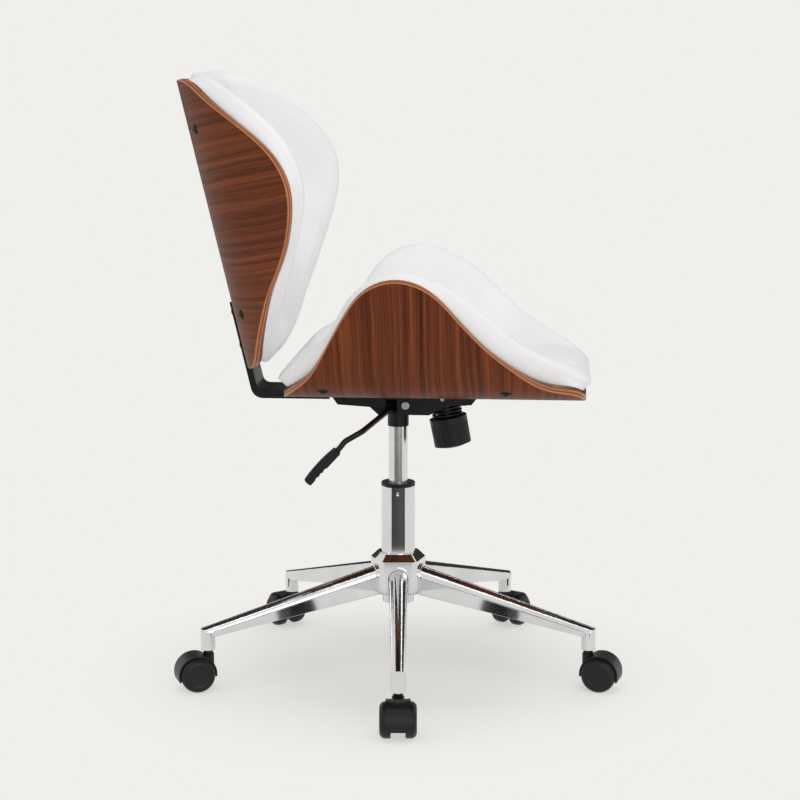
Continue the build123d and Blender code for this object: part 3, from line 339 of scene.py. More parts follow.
finishes = {
    "walnut": makeWalnut(),
    "plyEdge": makePlyEdge(),
    "leatherette": makeLeatherette(),
    "chrome": makeChrome("polished"),
    "satinChrome": makeChrome("satin"),
    "brightSteel": makeBrightSteel(),
    "powderCoat": makeBlack(powderCoat),
    "satinPlastic": makeBlack(mouldedPlastic),
    "rawPly": makeRawPly(),
}
slotFinish = {
    "walnut_veneer": "walnut",
    "plain_ply": "rawPly",
    "white_leatherette": "leatherette",
    "chrome": "chrome",
    "bright_steel": "brightSteel",
    "black_steel": "powderCoat",
    "black_plastic": "satinPlastic",
}
slotOf = {part["node"]: part["material_slot"] for part in frame["record"]["subparts"]}
for nodeName, node in nodes.items():
    node.data.materials.clear()
    node.data.materials.append(finishes[slotFinish[slotOf[nodeName]]])
print("finishes made,", len(finishes))


# Pieces: common steps

def linkPiece(name, mesh):
    piece = bpy.data.objects.new(name, mesh)
    scene.collection.objects.link(piece)
    return piece


def newPiece(name, verts, faces, materials):
    mesh = bpy.data.meshes.new(name)
    mesh.from_pydata([tuple(v) for v in verts], [], faces)
    for material in materials:
        mesh.materials.append(material)
    return linkPiece(name, mesh)


def settle(piece):  # modifiers turned into plain mesh
    bpy.context.view_layer.update()
    evaluated = piece.evaluated_get(bpy.context.evaluated_depsgraph_get())
    mesh = bpy.data.meshes.new_from_object(evaluated)
    piece.modifiers.clear()
    piece.data = mesh
    return piece


def facesOut(piece):
    mesh = bmesh.new()
    mesh.from_mesh(piece.data)
    bmesh.ops.recalc_face_normals(mesh, faces=mesh.faces)
    mesh.to_mesh(piece.data)
    mesh.free()


def smoothBy(piece, degrees):
    piece.data.shade_smooth()
    piece.data.set_sharp_from_angle(angle=math.radians(degrees))
    return piece


def fix(piece, body, slot, *replaced):
    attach(piece, body)
    if replaced:
        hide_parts(*replaced)


# Bent boards: a flat, a bend and a straight wing each side, trimmed by an outline seen from the side

recline = math.radians(13.3)
seatForm = {
    "origin": Vector((0, 0, 0.428)),
    "along": Vector((1, 0, 0)),
    "across": Vector((0, 1, 0)),
    "up": Vector((0, 0, 1)),
    "flat": 0.080,
    "bend": 0.130,
    "angle": math.radians(68),
    "start": -0.158,
    "end": 0.274,
    "peak": 0.018,
    "height": 0.182,
    "startEdge": ((0.1, 0.075), (0.255, 0.208), (0.4, 0.425), (0.565, 0.71), (0.76, 0.934)),
    "endEdge": ((0.02, 0.042), (0.17, 0.112), (0.375, 0.276), (0.55, 0.487), (0.7, 0.722), (0.86, 0.94)),
}
backForm = {
    "origin": Vector((-0.2115, 0, 0.468)),
    "along": Vector((-math.sin(recline), 0, math.cos(recline))),
    "across": Vector((0, -1, 0)),
    "up": Vector((math.cos(recline), 0, math.sin(recline))),
    "flat": 0.050,
    "bend": 0.200,
    "angle": math.radians(58),
    "start": 0.0,
    "end": 0.416,
    "peak": 0.243,
    "height": 0.1415,
    "startEdge": (
        (0.002, 0.065), (0.02, 0.13), (0.092, 0.212), (0.272, 0.374),
        (0.437, 0.545), (0.61, 0.765), (0.8, 0.93),
    ),
    "endEdge": ((0.002, 0.065), (0.029, 0.155), (0.147, 0.302), (0.36, 0.54), (0.555, 0.755), (0.77, 0.93)),
}
edgeBelow = 0.001  # the outline starts this far under the flat


def outlinePoints(form):  # edge pairs are shares of the run to the peak and of its height
    start, end, peak, height = form["start"], form["end"], form["peak"], form["height"]
    points = [(start, -edgeBelow)]
    points += [(start + (peak - start) * run, height * rise) for run, rise in form["startEdge"]]
    points.append((peak, height))
    points += [(end + (peak - end) * run, height * rise) for run, rise in reversed(form["endEdge"])]
    points.append((end, -edgeBelow))
    return np.array(points)


def splineThrough(points):  # natural cubic on chord length
    chords = np.linalg.norm(np.diff(points, axis=0), axis=1)
    knots = np.concatenate(([0], np.cumsum(chords)))
    count = len(points)
    system = np.zeros((count, count))
    right = np.zeros((count, 2))
    system[0, 0] = system[-1, -1] = 1
    for i in range(1, count - 1):
        before, after = chords[i - 1], chords[i]
        system[i, i - 1 : i + 2] = before, 2 * (before + after), after
        right[i] = 6 * ((points[i + 1] - points[i]) / after - (points[i] - points[i - 1]) / before)
    curvature = np.linalg.solve(system, right)

    def at(place):
        i = int(np.clip(np.searchsorted(knots, place) - 1, 0, count - 2))
        size = chords[i]
        left, rest = knots[i + 1] - place, place - knots[i]
        value = (curvature[i] * left**3 + curvature[i + 1] * rest**3) / (6 * size)
        value += (points[i] / size - curvature[i] * size / 6) * left
        return value + (points[i + 1] / size - curvature[i + 1] * size / 6) * rest

    return at, knots[-1]


def runAt(form, height):  # distance over the bent board, from its middle line up to a height
    flat, bend, angle = form["flat"], form["bend"], form["angle"]
    knee = bend * (1 - math.cos(angle))
    if height >= knee:
        return flat + bend * angle + (height - knee) / math.sin(angle)
    return flat + bend * math.acos(1 - max(height, 0) / bend)


def spotOn(form, along, run, depth):
    flat, bend, angle = form["flat"], form["bend"], form["angle"]
    side = math.copysign(1, run)
    run = abs(run)
    turn = min(max(run - flat, 0) / bend, angle)
    straight = max(run - flat - bend * angle, 0)
    across = min(run, flat) + (bend - depth) * math.sin(turn) + straight * math.cos(angle)
    lift = bend - (bend - depth) * math.cos(turn) + straight * math.sin(angle)
    return form["origin"] + form["along"] * along + form["across"] * side * across + form["up"] * lift


def rimStations(form, rows):  # along, half run and inward direction of the rim at each row
    at, length = splineThrough(outlinePoints(form))
    samples = np.linspace(0, length, 4001)
    above = [place for place in samples if at(place)[1] >= 0]
    low, high = above[0], above[-1]
    stations = []
    for i in range(rows + 1):
        place = low + (high - low) * (1 - math.cos(math.pi * i / rows)) / 2
        along, height = at(place)
        stations.append([along, runAt(form, height)])
    stations = np.array(stations)
    stations[0, 1] = stations[-1, 1] = form["flat"]
    tangent = np.gradient(stations, axis=0)
    inward = np.column_stack((tangent[:, 1], -tangent[:, 0]))
    inward /= np.linalg.norm(inward, axis=1)[:, None]
    inward[0], inward[-1] = (1, 0), (-1, 0)
    return stations, inward


def sheetFaces(index, rows, columns, last, loop):  # both faces, marked 0, then the rim, marked 1
    faces, marks = [], []
    for i in range(rows):
        for j in range(columns):
            corners = ((i, j), (i + 1, j), (i + 1, j + 1), (i, j + 1))
            faces.append([index[(0, *c)] for c in corners])
            faces.append([index[(last, *c)] for c in reversed(corners)])
            marks += [0, 0]
    for level in range(last):
        for one, two in zip(loop, loop[1:] + loop[:1]):
            ring = ((level, *one), (level, *two), (level + 1, *two), (level + 1, *one))
            faces.append([index[key] for key in ring])
            marks.append(1)
    return faces, marks


def layUv(piece, index, levels, loop, marks, flatUv):  # rim faces run round the loop and through the depth
    layer = piece.data.uv_layers.new(name="UVMap")
    verts = piece.data.vertices
    travel = 0.0
    arcs = {}
    for one, two in zip(loop, loop[1:] + loop[:1]):
        arcs[one] = travel
        travel += (verts[index[(0, *one)]].co - verts[index[(0, *two)]].co).length
    names = {place: key for key, place in index.items()}
    for face, mark in zip(piece.data.polygons, marks):
        for corner in face.loop_indices:
            place = piece.data.loops[corner].vertex_index
            level, i, j = names[place]
            layer.data[corner].uv = (arcs[(i, j)], levels[level][1]) if mark else flatUv[place]


def buildSheet(name, form, rows, columns, levels, crown, taper, materials, foot=None):
    # levels are (inset, depth) from the outer face round the rim to the inner face
    stations, inward = rimStations(form, rows)
    shares = [math.sin(math.pi / 2 * (2 * j / columns - 1)) for j in range(columns + 1)]
    last = len(levels) - 1
    verts, flatUv, index = [], [], {}
    for level, (inset, depth) in enumerate(levels):
        rim = stations + inward * inset
        if foot:  # the lower levels lean to the rim that they stand on
            rim += (foot["rim"] - rim) * foot["lean"][level]
        for i in range(rows + 1):
            for j in range(columns + 1):
                onRim = i in (0, rows) or j in (0, columns)
                if not onRim and level not in (0, last):
                    continue
                along, run = rim[i, 0], shares[j] * rim[i, 1]
                rise = crown(along, run, rim) if level == last else 0
                index[(level, i, j)] = len(verts)
                verts.append(spotOn(form, along, run, taper(along, depth + rise)))
                flatUv.append((run, along))
    loop = [(0, j) for j in range(columns)] + [(i, columns) for i in range(rows)]
    loop += [(rows, j) for j in range(columns, 0, -1)] + [(i, 0) for i in range(rows, 0, -1)]
    faces, marks = sheetFaces(index, rows, columns, last, loop)
    piece = newPiece(name, verts, faces, materials)
    layUv(piece, index, levels, loop, marks, flatUv)
    if len(materials) > 1:
        for face, mark in zip(piece.data.polygons, marks):
            face.material_index = mark
    facesOut(piece)
    return piece, index


board = {"thickness": 0.010, "round": 0.0012, "rows": 120, "columns": 60}


def noCrown(along, run, rim):
    return 0.0


def noTaper(along, depth):
    return depth


def makeShell(name, form, node):
    thick, soft = board["thickness"], board["round"]
    levels = [(soft, 0), (0.3 * soft, 0.3 * soft), (0, soft), (0, thick / 2), (0, thick - soft)]
    levels += [(0.3 * soft, thick - 0.3 * soft), (soft, thick)]
    materials = [finishes["walnut"], finishes["plyEdge"]]
    piece = buildSheet(name, form, board["rows"], board["columns"], levels, noCrown, noTaper, materials)[0]
    smoothBy(piece, 50)
    fix(piece, "seat", "walnut_veneer", node)


makeShell("walnut_seat_shell", seatForm, "seat_shell")
makeShell("walnut_back_shell", backForm, "back_shell")
print("walnut shells done")


# Pads: a lower band, a seam all round and a crowned top, blown up a little by cloth pressure

pad = {
    "low": 0.0143,  # underside, above the board's outer face
    "thickness": 0.036,
    "belly": 0.42,  # height of the widest line, as a share of the thickness
    "top": 0.97,
    "roll": 0.026,  # how far the upper edge rolls in
    "rollSteps": 8,
    "seamDepth": 0.0085,
    "seamInset": 0.002,
    "seamGroove": 0.0005,
    "crown": 0.004,
    "noseLength": 0.036,  # the two ends round off over this length
    "noseKeep": 0.52,
    "footInset": 0.004,  # the lower band starts this far inside the wood's edge
    "footLean": 1.4,
    "rows": 96,
    "columns": 56,
    "fill": 0.85,
}
blow = {
    "pressure": 14.0,
    "frames": 20,
    "quality": 6,
    "stretch": 25,
    "bending": 2,
    "cap": 0.004,  # furthest that the cover may swell
    "evening": 60,
}


def padLevels():
    low, seam, inset = pad["low"], pad["seamDepth"], pad["seamInset"]
    levels = [(0.006, low), (0.0032, low + 0.001), (inset, low + seam * 0.42), (inset, low + seam * 0.78)]
    seamLevel = len(levels)
    levels.append((inset + pad["seamGroove"], low + seam))
    levels += [(0.0016, low + seam * 1.22), (0.0006, low + seam * 1.5)]
    belly = pad["belly"] * pad["thickness"]
    rise = pad["top"] * pad["thickness"] - belly
    for step in range(pad["rollSteps"] + 1):
        turn = math.pi / 2 * step / pad["rollSteps"]
        levels.append((pad["roll"] * (1 - math.cos(turn)), low + belly + rise * math.sin(turn)))
    return levels, seamLevel


def padFoot(wood, levels):  # the wood's rim, and how much each level leans to it
    stations, inward = rimStations(wood, pad["rows"])
    belly = pad["belly"] * pad["thickness"]
    lean = [max(0, 1 - (depth - pad["low"]) / belly) ** pad["footLean"] for inset, depth in levels]
    return {"rim": stations + inward * pad["footInset"], "lean": lean}


def padCrown(along, run, rim):
    reach = abs(rim[:, 1]).max()
    middle = (rim[0, 0] + rim[-1, 0]) / 2
    half = (rim[-1, 0] - rim[0, 0]) / 2
    return pad["crown"] * max(0, 1 - (run / reach) ** 2) * max(0, 1 - ((along - middle) / half) ** 2)


def noseOf(form):
    def taper(along, depth):
        gap = min(along - form["start"], form["end"] - along)
        share = min(max(gap, 0) / pad["noseLength"], 1)
        full = pad["noseKeep"] + (1 - pad["noseKeep"]) * math.sqrt(1 - (1 - share) ** 2)
        return pad["low"] + (depth - pad["low"]) * full

    return taper


def inflate(piece, pinned):
    rest = [v.co.copy() for v in piece.data.vertices]
    outward = np.array([v.normal for v in piece.data.vertices])
    group = piece.vertex_groups.new(name="sewn")
    group.add(pinned, 1.0, "REPLACE")
    cloth = piece.modifiers.new("blown", "CLOTH")
    cloth.settings.vertex_group_mass = "sewn"
    cloth.settings.use_pressure = True
    cloth.settings.uniform_pressure_force = blow["pressure"]
    cloth.settings.quality = blow["quality"]
    cloth.settings.tension_stiffness = blow["stretch"]
    cloth.settings.compression_stiffness = blow["stretch"]
    cloth.settings.bending_stiffness = blow["bending"]
    cloth.settings.effector_weights.gravity = 0
    cloth.point_cache.frame_start = 1
    cloth.point_cache.frame_end = blow["frames"]
    for step in range(1, blow["frames"] + 1):
        scene.frame_set(step)
    settle(piece)
    scene.frame_set(1)
    moves = np.array([vert.co - old for vert, old in zip(piece.data.vertices, rest)])
    moves *= np.minimum(1, blow["cap"] / np.maximum(np.linalg.norm(moves, axis=1), 1e-9))[:, None]
    ends = np.array([edge.vertices[:] for edge in piece.data.edges])
    share = np.bincount(ends.ravel(), minlength=len(moves))[:, None]
    for step in range(blow["evening"]):  # evens the swell out, as taut foam does under its cover
        around = np.zeros_like(moves)
        np.add.at(around, ends[:, 0], moves[ends[:, 1]])
        np.add.at(around, ends[:, 1], moves[ends[:, 0]])
        moves = around / share
        moves[pinned] = 0
    swell = np.sum(moves * outward, axis=1)
    moves -= np.minimum(swell, 0)[:, None] * outward  # the cover swells, and sinks nowhere
    for vert, old, move in zip(piece.data.vertices, rest, moves):
        vert.co = old + Vector(move)
    print(piece.name, "swelled by %.1f mm at most" % (1000 * swell.max()))


def makePad(name, form, wood, node):
    levels, seamLevel = padLevels()
    cover = [finishes["leatherette"]]
    foot = padFoot(wood, levels)
    rows, columns, nose = pad["rows"], pad["columns"], noseOf(form)
    piece, index = buildSheet(name, form, rows, columns, levels, padCrown, nose, cover, foot)
    sewn = [place for (level, i, j), place in index.items() if level <= seamLevel]
    inflate(piece, sewn)
    smooth = piece.modifiers.new("fine", "SUBSURF")
    smooth.levels = smooth.render_levels = 1
    settle(piece)
    piece.data.shade_smooth()
    fix(piece, "seat", "white_leatherette", node)
    print(name, "done,", len(piece.data.polygons), "faces")


seatPadForm = dict(  # the pads stand past the wood where its edge dips
    seatForm,
    start=-0.166,
    end=0.282,
    peak=0.015,
    height=0.179,
    startEdge=((0.06, 0.06), (0.135, 0.165), (0.33, 0.34), (0.523, 0.627), (0.66, 0.838), (0.81, 0.95)),
    endEdge=((0.045, 0.04), (0.11, 0.114), (0.304, 0.339), (0.537, 0.647), (0.731, 0.873), (0.87, 0.965)),
)
backPadForm = dict(
    backForm,
    start=-0.004,
    end=0.422,
    peak=0.247,
    height=0.1425,
    startEdge=((0.042, 0.04), (0.12, 0.147), (0.271, 0.329), (0.426, 0.537), (0.587, 0.722), (0.77, 0.89)),
    endEdge=((0.016, 0.046), (0.069, 0.185), (0.186, 0.393), (0.364, 0.648), (0.554, 0.834), (0.758, 0.954)),
)
makePad("seat_pad", seatPadForm, seatForm, "seat_cushion")
makePad("back_pad", backPadForm, backForm, "back_cushion")


# Geometry Nodes trees for what repeats or follows a path

def newTree(name, sockets):
    tree = bpy.data.node_groups.new(name, "GeometryNodeTree")
    tree.interface.new_socket("Geometry", in_out="INPUT", socket_type="NodeSocketGeometry")
    for label, kind in sockets.items():
        tree.interface.new_socket(label, in_out="INPUT", socket_type=kind)
    tree.interface.new_socket("Geometry", in_out="OUTPUT", socket_type="NodeSocketGeometry")
    return tree, addNode(tree, "NodeGroupInput").outputs


def endTree(tree, geometry, finish):
    real = addNode(tree, "GeometryNodeRealizeInstances", {"Geometry": geometry}).outputs["Geometry"]
    painted = addNode(tree, "GeometryNodeSetMaterial", {"Geometry": real, "Material": finishes[finish]})
    addNode(tree, "NodeGroupOutput", {"Geometry": painted.outputs["Geometry"]})


def grow(piece, tree, values):
    modifier = piece.modifiers.new(tree.name, "NODES")
    modifier.node_group = tree
    for item in tree.interface.items_tree:
        if item.in_out == "INPUT" and item.name in values:
            modifier[item.identifier] = values[item.name]
    return settle(piece)


# Screws and bolts: domed heads with a hexagon socket

def lathe(name, profile, segments, materials, shape=None):  # profile of (radius, height), closed at the axis
    verts, faces = [], []
    for radius, height in profile:
        for k in range(segments):
            turn = math.tau * k / segments
            reach = shape(radius, height, turn) if shape else radius
            verts.append((reach * math.cos(turn), reach * math.sin(turn), height))
    for row in range(len(profile) - 1):
        for k in range(segments):
            near, far = row * segments + k, row * segments + (k + 1) % segments
            faces.append((near, far, far + segments, near + segments))
    faces.append(tuple(reversed(range(segments))))
    faces.append(tuple(range(len(verts) - segments, len(verts))))
    piece = newPiece(name, verts, faces, materials)
    facesOut(piece)
    return piece


shellScrew = {
    "head": 0.0145,
    "rise": 0.003,
    "side": 0.3,  # straight part of the head's side, as a share of its rise
    "shank": 0.005,
    "length": 0.014,
    "socket": 0.0042,
    "deep": 0.0016,
}
backBolt = {
    "head": 0.012,
    "rise": 0.009,
    "side": 0.75,
    "shank": 0.006,
    "length": 0.012,
    "socket": 0.004,
    "deep": 0.002,
}
seatBolt = dict(backBolt, rise=0.0105)  # these reach past the bracket's deeper flange
headGap = 0.00005  # the head's underside sits this far in, so that no faces coincide


def makeHead(name, sizes):
    half, rise, shank, length = sizes["head"] / 2, sizes["rise"], sizes["shank"] / 2, sizes["length"]
    socket, side, floor = sizes["socket"] / 2, sizes["side"], sizes["rise"] - sizes["deep"]
    profile = [(shank * 0.8, -length), (shank, -length + 0.0006), (shank, -headGap), (half, -headGap)]
    profile.append((half, rise * side))
    for step in range(1, 7):
        share = step / 7
        dome = side + (1 - side) * math.sin(math.pi / 2 * share)
        profile.append((half + (socket * 1.2 - half) * share, rise * dome))
    profile += [(socket * 1.02, rise), (socket, rise - 0.0002), (socket * 0.98, floor)]

    def hexagon(radius, height, turn):
        if radius > socket * 1.03 or height < floor - 0.0001:
            return radius
        return radius * math.cos(math.pi / 6) / math.cos((turn % (math.pi / 3)) - math.pi / 6)

    return smoothBy(lathe(name, profile, 36, [], hexagon), 35)


def screwTree(name, finish):
    tree, inputs = newTree(name, {"Head": "NodeSocketObject", "Size": "NodeSocketFloat"})
    facing = addNode(tree, "GeometryNodeInputNamedAttribute", {"Name": "facing"}, data_type="FLOAT_VECTOR")
    towards = {"Vector": facing.outputs["Attribute"]}
    turn = addNode(tree, "FunctionNodeAlignRotationToVector", towards, axis="Z").outputs["Rotation"]
    head = addNode(tree, "GeometryNodeObjectInfo", {"Object": inputs["Head"]}).outputs["Geometry"]
    size = addNode(tree, "ShaderNodeCombineXYZ", {axis: inputs["Size"] for axis in "XYZ"}).outputs["Vector"]
    placed = addNode(
        tree, "GeometryNodeInstanceOnPoints",
        {"Points": inputs["Geometry"], "Instance": head, "Rotation": turn, "Scale": size},
    )
    endTree(tree, placed.outputs["Instances"], finish)
    return tree


def makeScrews(name, sizes, spots, *replaced):  # spots are (place, outward direction)
    head = makeHead(name + "_head", sizes)
    piece = newPiece(name, [place for place, out in spots], [], [])
    facing = piece.data.attributes.new("facing", "FLOAT_VECTOR", "POINT")
    for item, (place, out) in zip(facing.data, spots):
        item.vector = out
    grow(piece, screwTree(name, "powderCoat"), {"Head": head, "Size": 1.0})
    bpy.data.objects.remove(head)
    fix(piece, "seat", "black_steel", *replaced)


screwPlaces = {
    "seat": (-0.094, 0.162),  # along each shell
    "back": (0.081, 0.344),
    "run": 0.146,  # off its middle line
}
bracket = {
    "web": 0.004,  # its sheet, under the heads
    "under": (-0.134, -0.111),
    "rear": (0.026, 0.076),
    "half": 0.019,
}


def shellSpots(form, places):
    spots = []
    run = screwPlaces["run"]
    turn = (run - form["flat"]) / form["bend"]
    for along in places:
        for side in (-1, 1):
            out = form["across"] * side * math.sin(turn) - form["up"] * math.cos(turn)
            spots.append((spotOn(form, along, side * run, 0), out))
    return spots


def bracketSpots(form, places):
    spots = []
    for along in places:
        for y in (-bracket["half"], bracket["half"]):
            foot = form["origin"] + form["along"] * along + Vector((0, y, 0))
            spots.append((foot - form["up"] * bracket["web"], -form["up"]))
    return spots


screwSpots = shellSpots(seatForm, screwPlaces["seat"]) + shellSpots(backForm, screwPlaces["back"])
makeScrews("shell_screws", shellScrew, screwSpots, "seat_screws", "back_screws")
makeScrews("bracket_back_bolts", backBolt, bracketSpots(backForm, bracket["rear"]), "bracket_bolts")
makeScrews("bracket_seat_bolts", seatBolt, bracketSpots(seatForm, bracket["under"]), "bracket_bolts")
print("screws done")


# Tilt spring: a round wire on a spiral, drawn as one fixed coil; in the chair the seat presses it together as
# it tilts

lean = math.radians(10.8)
boltUp = Vector((-math.sin(lean), 0, math.cos(lean)))
knobTop = Vector((0.073, 0, 0.386))
spring = {
    "radius": 0.0202,
    "wire": 0.0046,
    "turns": 8.0,
    "low": -0.0249,  # heights from the knob's top, along the bolt
    "high": 0.0189,
    "plate": 0.0215,
    "pressed": 0.775,  # share of its length left at full tilt
}


def makeSpring():
    labels = ("Radius", "Wire", "Turns", "Height")
    tree, inputs = newTree("tiltSpring", {label: "NodeSocketFloat" for label in labels})
    spiral = {"Resolution": 48, "Rotations": inputs["Turns"], "Height": inputs["Height"]}
    spiral.update({"Start Radius": inputs["Radius"], "End Radius": inputs["Radius"]})
    path = addNode(tree, "GeometryNodeCurveSpiral", spiral).outputs["Curve"]
    section = {"Resolution": 16, "Radius": addMath(tree, "MULTIPLY", inputs["Wire"], 0.5)}
    ring = addNode(tree, "GeometryNodeCurvePrimitiveCircle", section).outputs["Curve"]
    sweep = {"Curve": path, "Profile Curve": ring, "Fill Caps": True}
    coil = addNode(tree, "GeometryNodeCurveToMesh", sweep).outputs["Mesh"]
    seat = {"Geometry": coil, "Translation": knobTop + boltUp * spring["low"], "Rotation": (0, -lean, 0)}
    endTree(tree, addNode(tree, "GeometryNodeTransform", seat).outputs["Geometry"], "powderCoat")
    piece = newPiece("tilt_coil", [(0, 0, 0)], [], [])
    height = spring["high"] - spring["low"]
    grow(piece, tree, dict(zip(labels, (spring["radius"], spring["wire"], spring["turns"], height))))
    smoothBy(piece, 40)
    fix(piece, "lift", "black_steel", "tilt_spring")
    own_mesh(piece)


makeSpring()
print("spring done")


# Column tube with the row of crimps that hold its bush

column = {
    "radius": 0.025,
    "foot": 0.023,
    "wall": 0.002,
    "bottom": 0.107,
    "seatTop": 0.183,  # top of the taper that sits in the hub
    "top": 0.283,
    "lip": 0.0006,
    "footWall": 0.004,
}
crimp = {"count": 8, "height": 0.2735, "depth": 0.0004, "width": 0.0014, "first": math.radians(-87)}
crimpRows = {"from": 0.266, "fine": 0.0007, "coarse": 0.006}  # mesh rows, close together round the crimps


def makeColumn():
    radius, top, lip = column["radius"], column["top"], column["lip"]
    inner, footInner = radius - column["wall"], column["foot"] - column["footWall"]
    profile = [(footInner, column["bottom"]), (column["foot"], column["bottom"]), (radius, column["seatTop"])]
    height = 0.2
    while height < top - 0.0008:
        profile.append((radius, height))
        height += crimpRows["fine"] if height > crimpRows["from"] else crimpRows["coarse"]
    profile += [(radius, top - lip), (radius - lip, top), (inner, top)]
    profile += [(inner, column["seatTop"]), (footInner, column["bottom"] + column["footWall"])]

    def dented(radius, height, turn):
        if abs(height - crimp["height"]) > 0.006 or radius < inner + 0.001:
            return radius
        step = math.tau / crimp["count"]
        around = ((turn - crimp["first"] + step / 2) % step - step / 2) * radius
        far = (around**2 + (height - crimp["height"]) ** 2) / (2 * crimp["width"] ** 2)
        return radius - crimp["depth"] * math.exp(-far)

    piece = lathe("chrome_column", profile, 240, [finishes["chrome"]], dented)
    smoothBy(piece, 35)
    fix(piece, "base", "chrome", "column_tube")


makeColumn()
print("column done")


# Machined and moulded solids: merged copies with softened edges

softEdges = {  # width of each edge's rounding, 0 where the solid is round enough
    "base_hub": 0.0011,
    "guide_bush": 0.0006,
    "tilt_housing": 0.0008,
    "tilt_yoke": 0.0005,
    "back_bracket": 0.0012,
    "tension_knob": 0.0005,
    "lever_handle": 0.0016,
    "lever_rod": 0,
    "pressure_cylinder": 0.0004,
    "pivot_bolts": 0.001,
}
for k in range(1, 6):
    softEdges["base_leg_%d" % k] = 0
    softEdges["caster_hood_%d" % k] = 0.0009
    softEdges["caster_stem_%d" % k] = 0.0004
special = {"pressure_cylinder": "satinChrome"}  # finishes that differ from their slot's usual one
sharpFrom = 32  # degrees


def soften(nodeName, width):
    name = "fine_" + nodeName
    mesh = bmesh.new()
    mesh.from_mesh(nodes[nodeName].data)
    bmesh.ops.remove_doubles(mesh, verts=mesh.verts, dist=2e-6)
    if width:
        bmesh.ops.dissolve_limit(mesh, angle_limit=math.radians(0.4), verts=mesh.verts, edges=mesh.edges)
    for face in mesh.faces:
        face.material_index = 0
    data = bpy.data.meshes.new(name)
    mesh.to_mesh(data)
    mesh.free()
    data.materials.append(finishes[special.get(nodeName, slotFinish[slotOf[nodeName]])])
    piece = smoothBy(linkPiece(name, data), sharpFrom)
    if width:
        bevel = piece.modifiers.new("softEdge", "BEVEL")
        bevel.width = width
        bevel.segments = 3
        bevel.limit_method = "ANGLE"
        bevel.angle_limit = math.radians(sharpFrom)
        bevel.use_clamp_overlap = True
    even = piece.modifiers.new("evenShade", "WEIGHTED_NORMAL")
    even.keep_sharp = True
    settle(piece)
    fix(piece, nodes[nodeName]["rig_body"], slotOf[nodeName], nodeName)


for nodeName, width in softEdges.items():
    soften(nodeName, width)
print("softened copies done,", len(softEdges))


# Caster wheels: rounded tread shoulder, face a little dished, blind bore for the axle

wheel = {
    "radius": 0.025,
    "inner": 0.010,  # distances of the two faces from the caster's middle
    "outer": 0.0255,
    "shoulder": 0.008,
    "dish": 0.0009,
    "dishRim": 0.004,
    "bore": 0.0031,
    "boreDepth": 0.0125,
    "tip": 0.0006,  # the profile stops this near the axis
    "chamfer": 0.001,
}
star = {  # circle of the axles, angles in degrees
    "radius": 0.309,
    "height": 0.025,
    "first": -85.4,
    "step": 72,
}


def wheelProfile():
    radius, inner, outer, shoulder = (wheel[key] for key in ("radius", "inner", "outer", "shoulder"))
    bore, tip, chamfer = wheel["bore"], wheel["tip"], wheel["chamfer"]
    deep = inner + wheel["boreDepth"]
    profile = [(tip, deep), (bore, deep), (bore, inner), (radius - chamfer, inner), (radius, inner + chamfer)]
    for step in range(11):
        turn = math.pi / 2 * step / 10
        profile.append((radius - shoulder * (1 - math.cos(turn)), outer - shoulder * (1 - math.sin(turn))))
    face = radius - shoulder
    for step in range(1, 7):
        share = step / 6
        ease = 3 * share**2 - 2 * share**3
        profile.append((face - wheel["dishRim"] * share, outer - wheel["dish"] * ease))
    profile.append((tip, outer - wheel["dish"]))
    return profile


def makeWheel(k, letter):
    node = "caster_wheel_%s_%d" % (letter, k)
    heading = math.radians(star["first"] + star["step"] * (k - 1))
    axle = Vector((-math.sin(heading), math.cos(heading), 0))
    low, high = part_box(node)
    middle = (Vector(low) + Vector(high)) / 2
    axle *= math.copysign(1, middle.dot(axle))
    spot = Vector((math.cos(heading), math.sin(heading), 0)) * star["radius"]
    spot.z = star["height"]
    piece = lathe("wheel_%s_%d" % (letter, k), wheelProfile(), 72, [finishes["satinPlastic"]])
    piece.data.transform(Matrix.Translation(spot) @ axle.to_track_quat("Z", "Y").to_matrix().to_4x4())
    smoothBy(piece, 35)
    fix(piece, nodes[node]["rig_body"], "black_plastic", node)


for k in range(1, 6):
    for letter in "ab":
        makeWheel(k, letter)
print("wheels done")


# Camera and studio

shot = {
    "place": (0.2432, -2.9901, 0.9333),
    "pitch": math.radians(80.094),
    "turn": math.radians(4.6),
    "lens": 93.55,
    "backdrop": tone(240, 239, 236),
    "ambient": 0.88,
}


def makeCamera():
    camera = bpy.data.cameras.new("sideView")
    camera.lens = shot["lens"]
    camera.sensor_width = 36
    camera.clip_end = 60
    holder = bpy.data.objects.new("sideView", camera)
    holder.location = shot["place"]
    holder.rotation_euler = (shot["pitch"], 0, shot["turn"])
    scene.collection.objects.link(holder)
    scene.camera = holder


def seenDirectly(tree):  # 1 for rays of the camera, of gloss and of glass
    rays = addNode(tree, "ShaderNodeLightPath").outputs
    direct = addMath(tree, "MAXIMUM", rays["Is Camera Ray"], rays["Is Glossy Ray"])
    return addMath(tree, "MAXIMUM", direct, rays["Is Transmission Ray"])


def makeWorld():
    world = bpy.data.worlds.new("paleStudio")
    world.use_nodes = True
    scene.world = world
    tree = world.node_tree
    back = tree.nodes["Background"]
    back.inputs["Color"].default_value = shot["backdrop"]
    strength = addRange(tree, seenDirectly(tree), shot["ambient"], 1.0)
    tree.links.new(strength, back.inputs["Strength"])


floor = {
    "dark": tone(239, 238, 235),
    "pale": tone(241, 240, 237),
    "speckleScale": 700.0,
    "radius": 14.0,
    "corners": 64,
    "shadow": 0.69,  # strength of the shadow under the chair, which fades out between these distances
    "shadowFrom": 0.17,
    "shadowTo": 0.47,
}


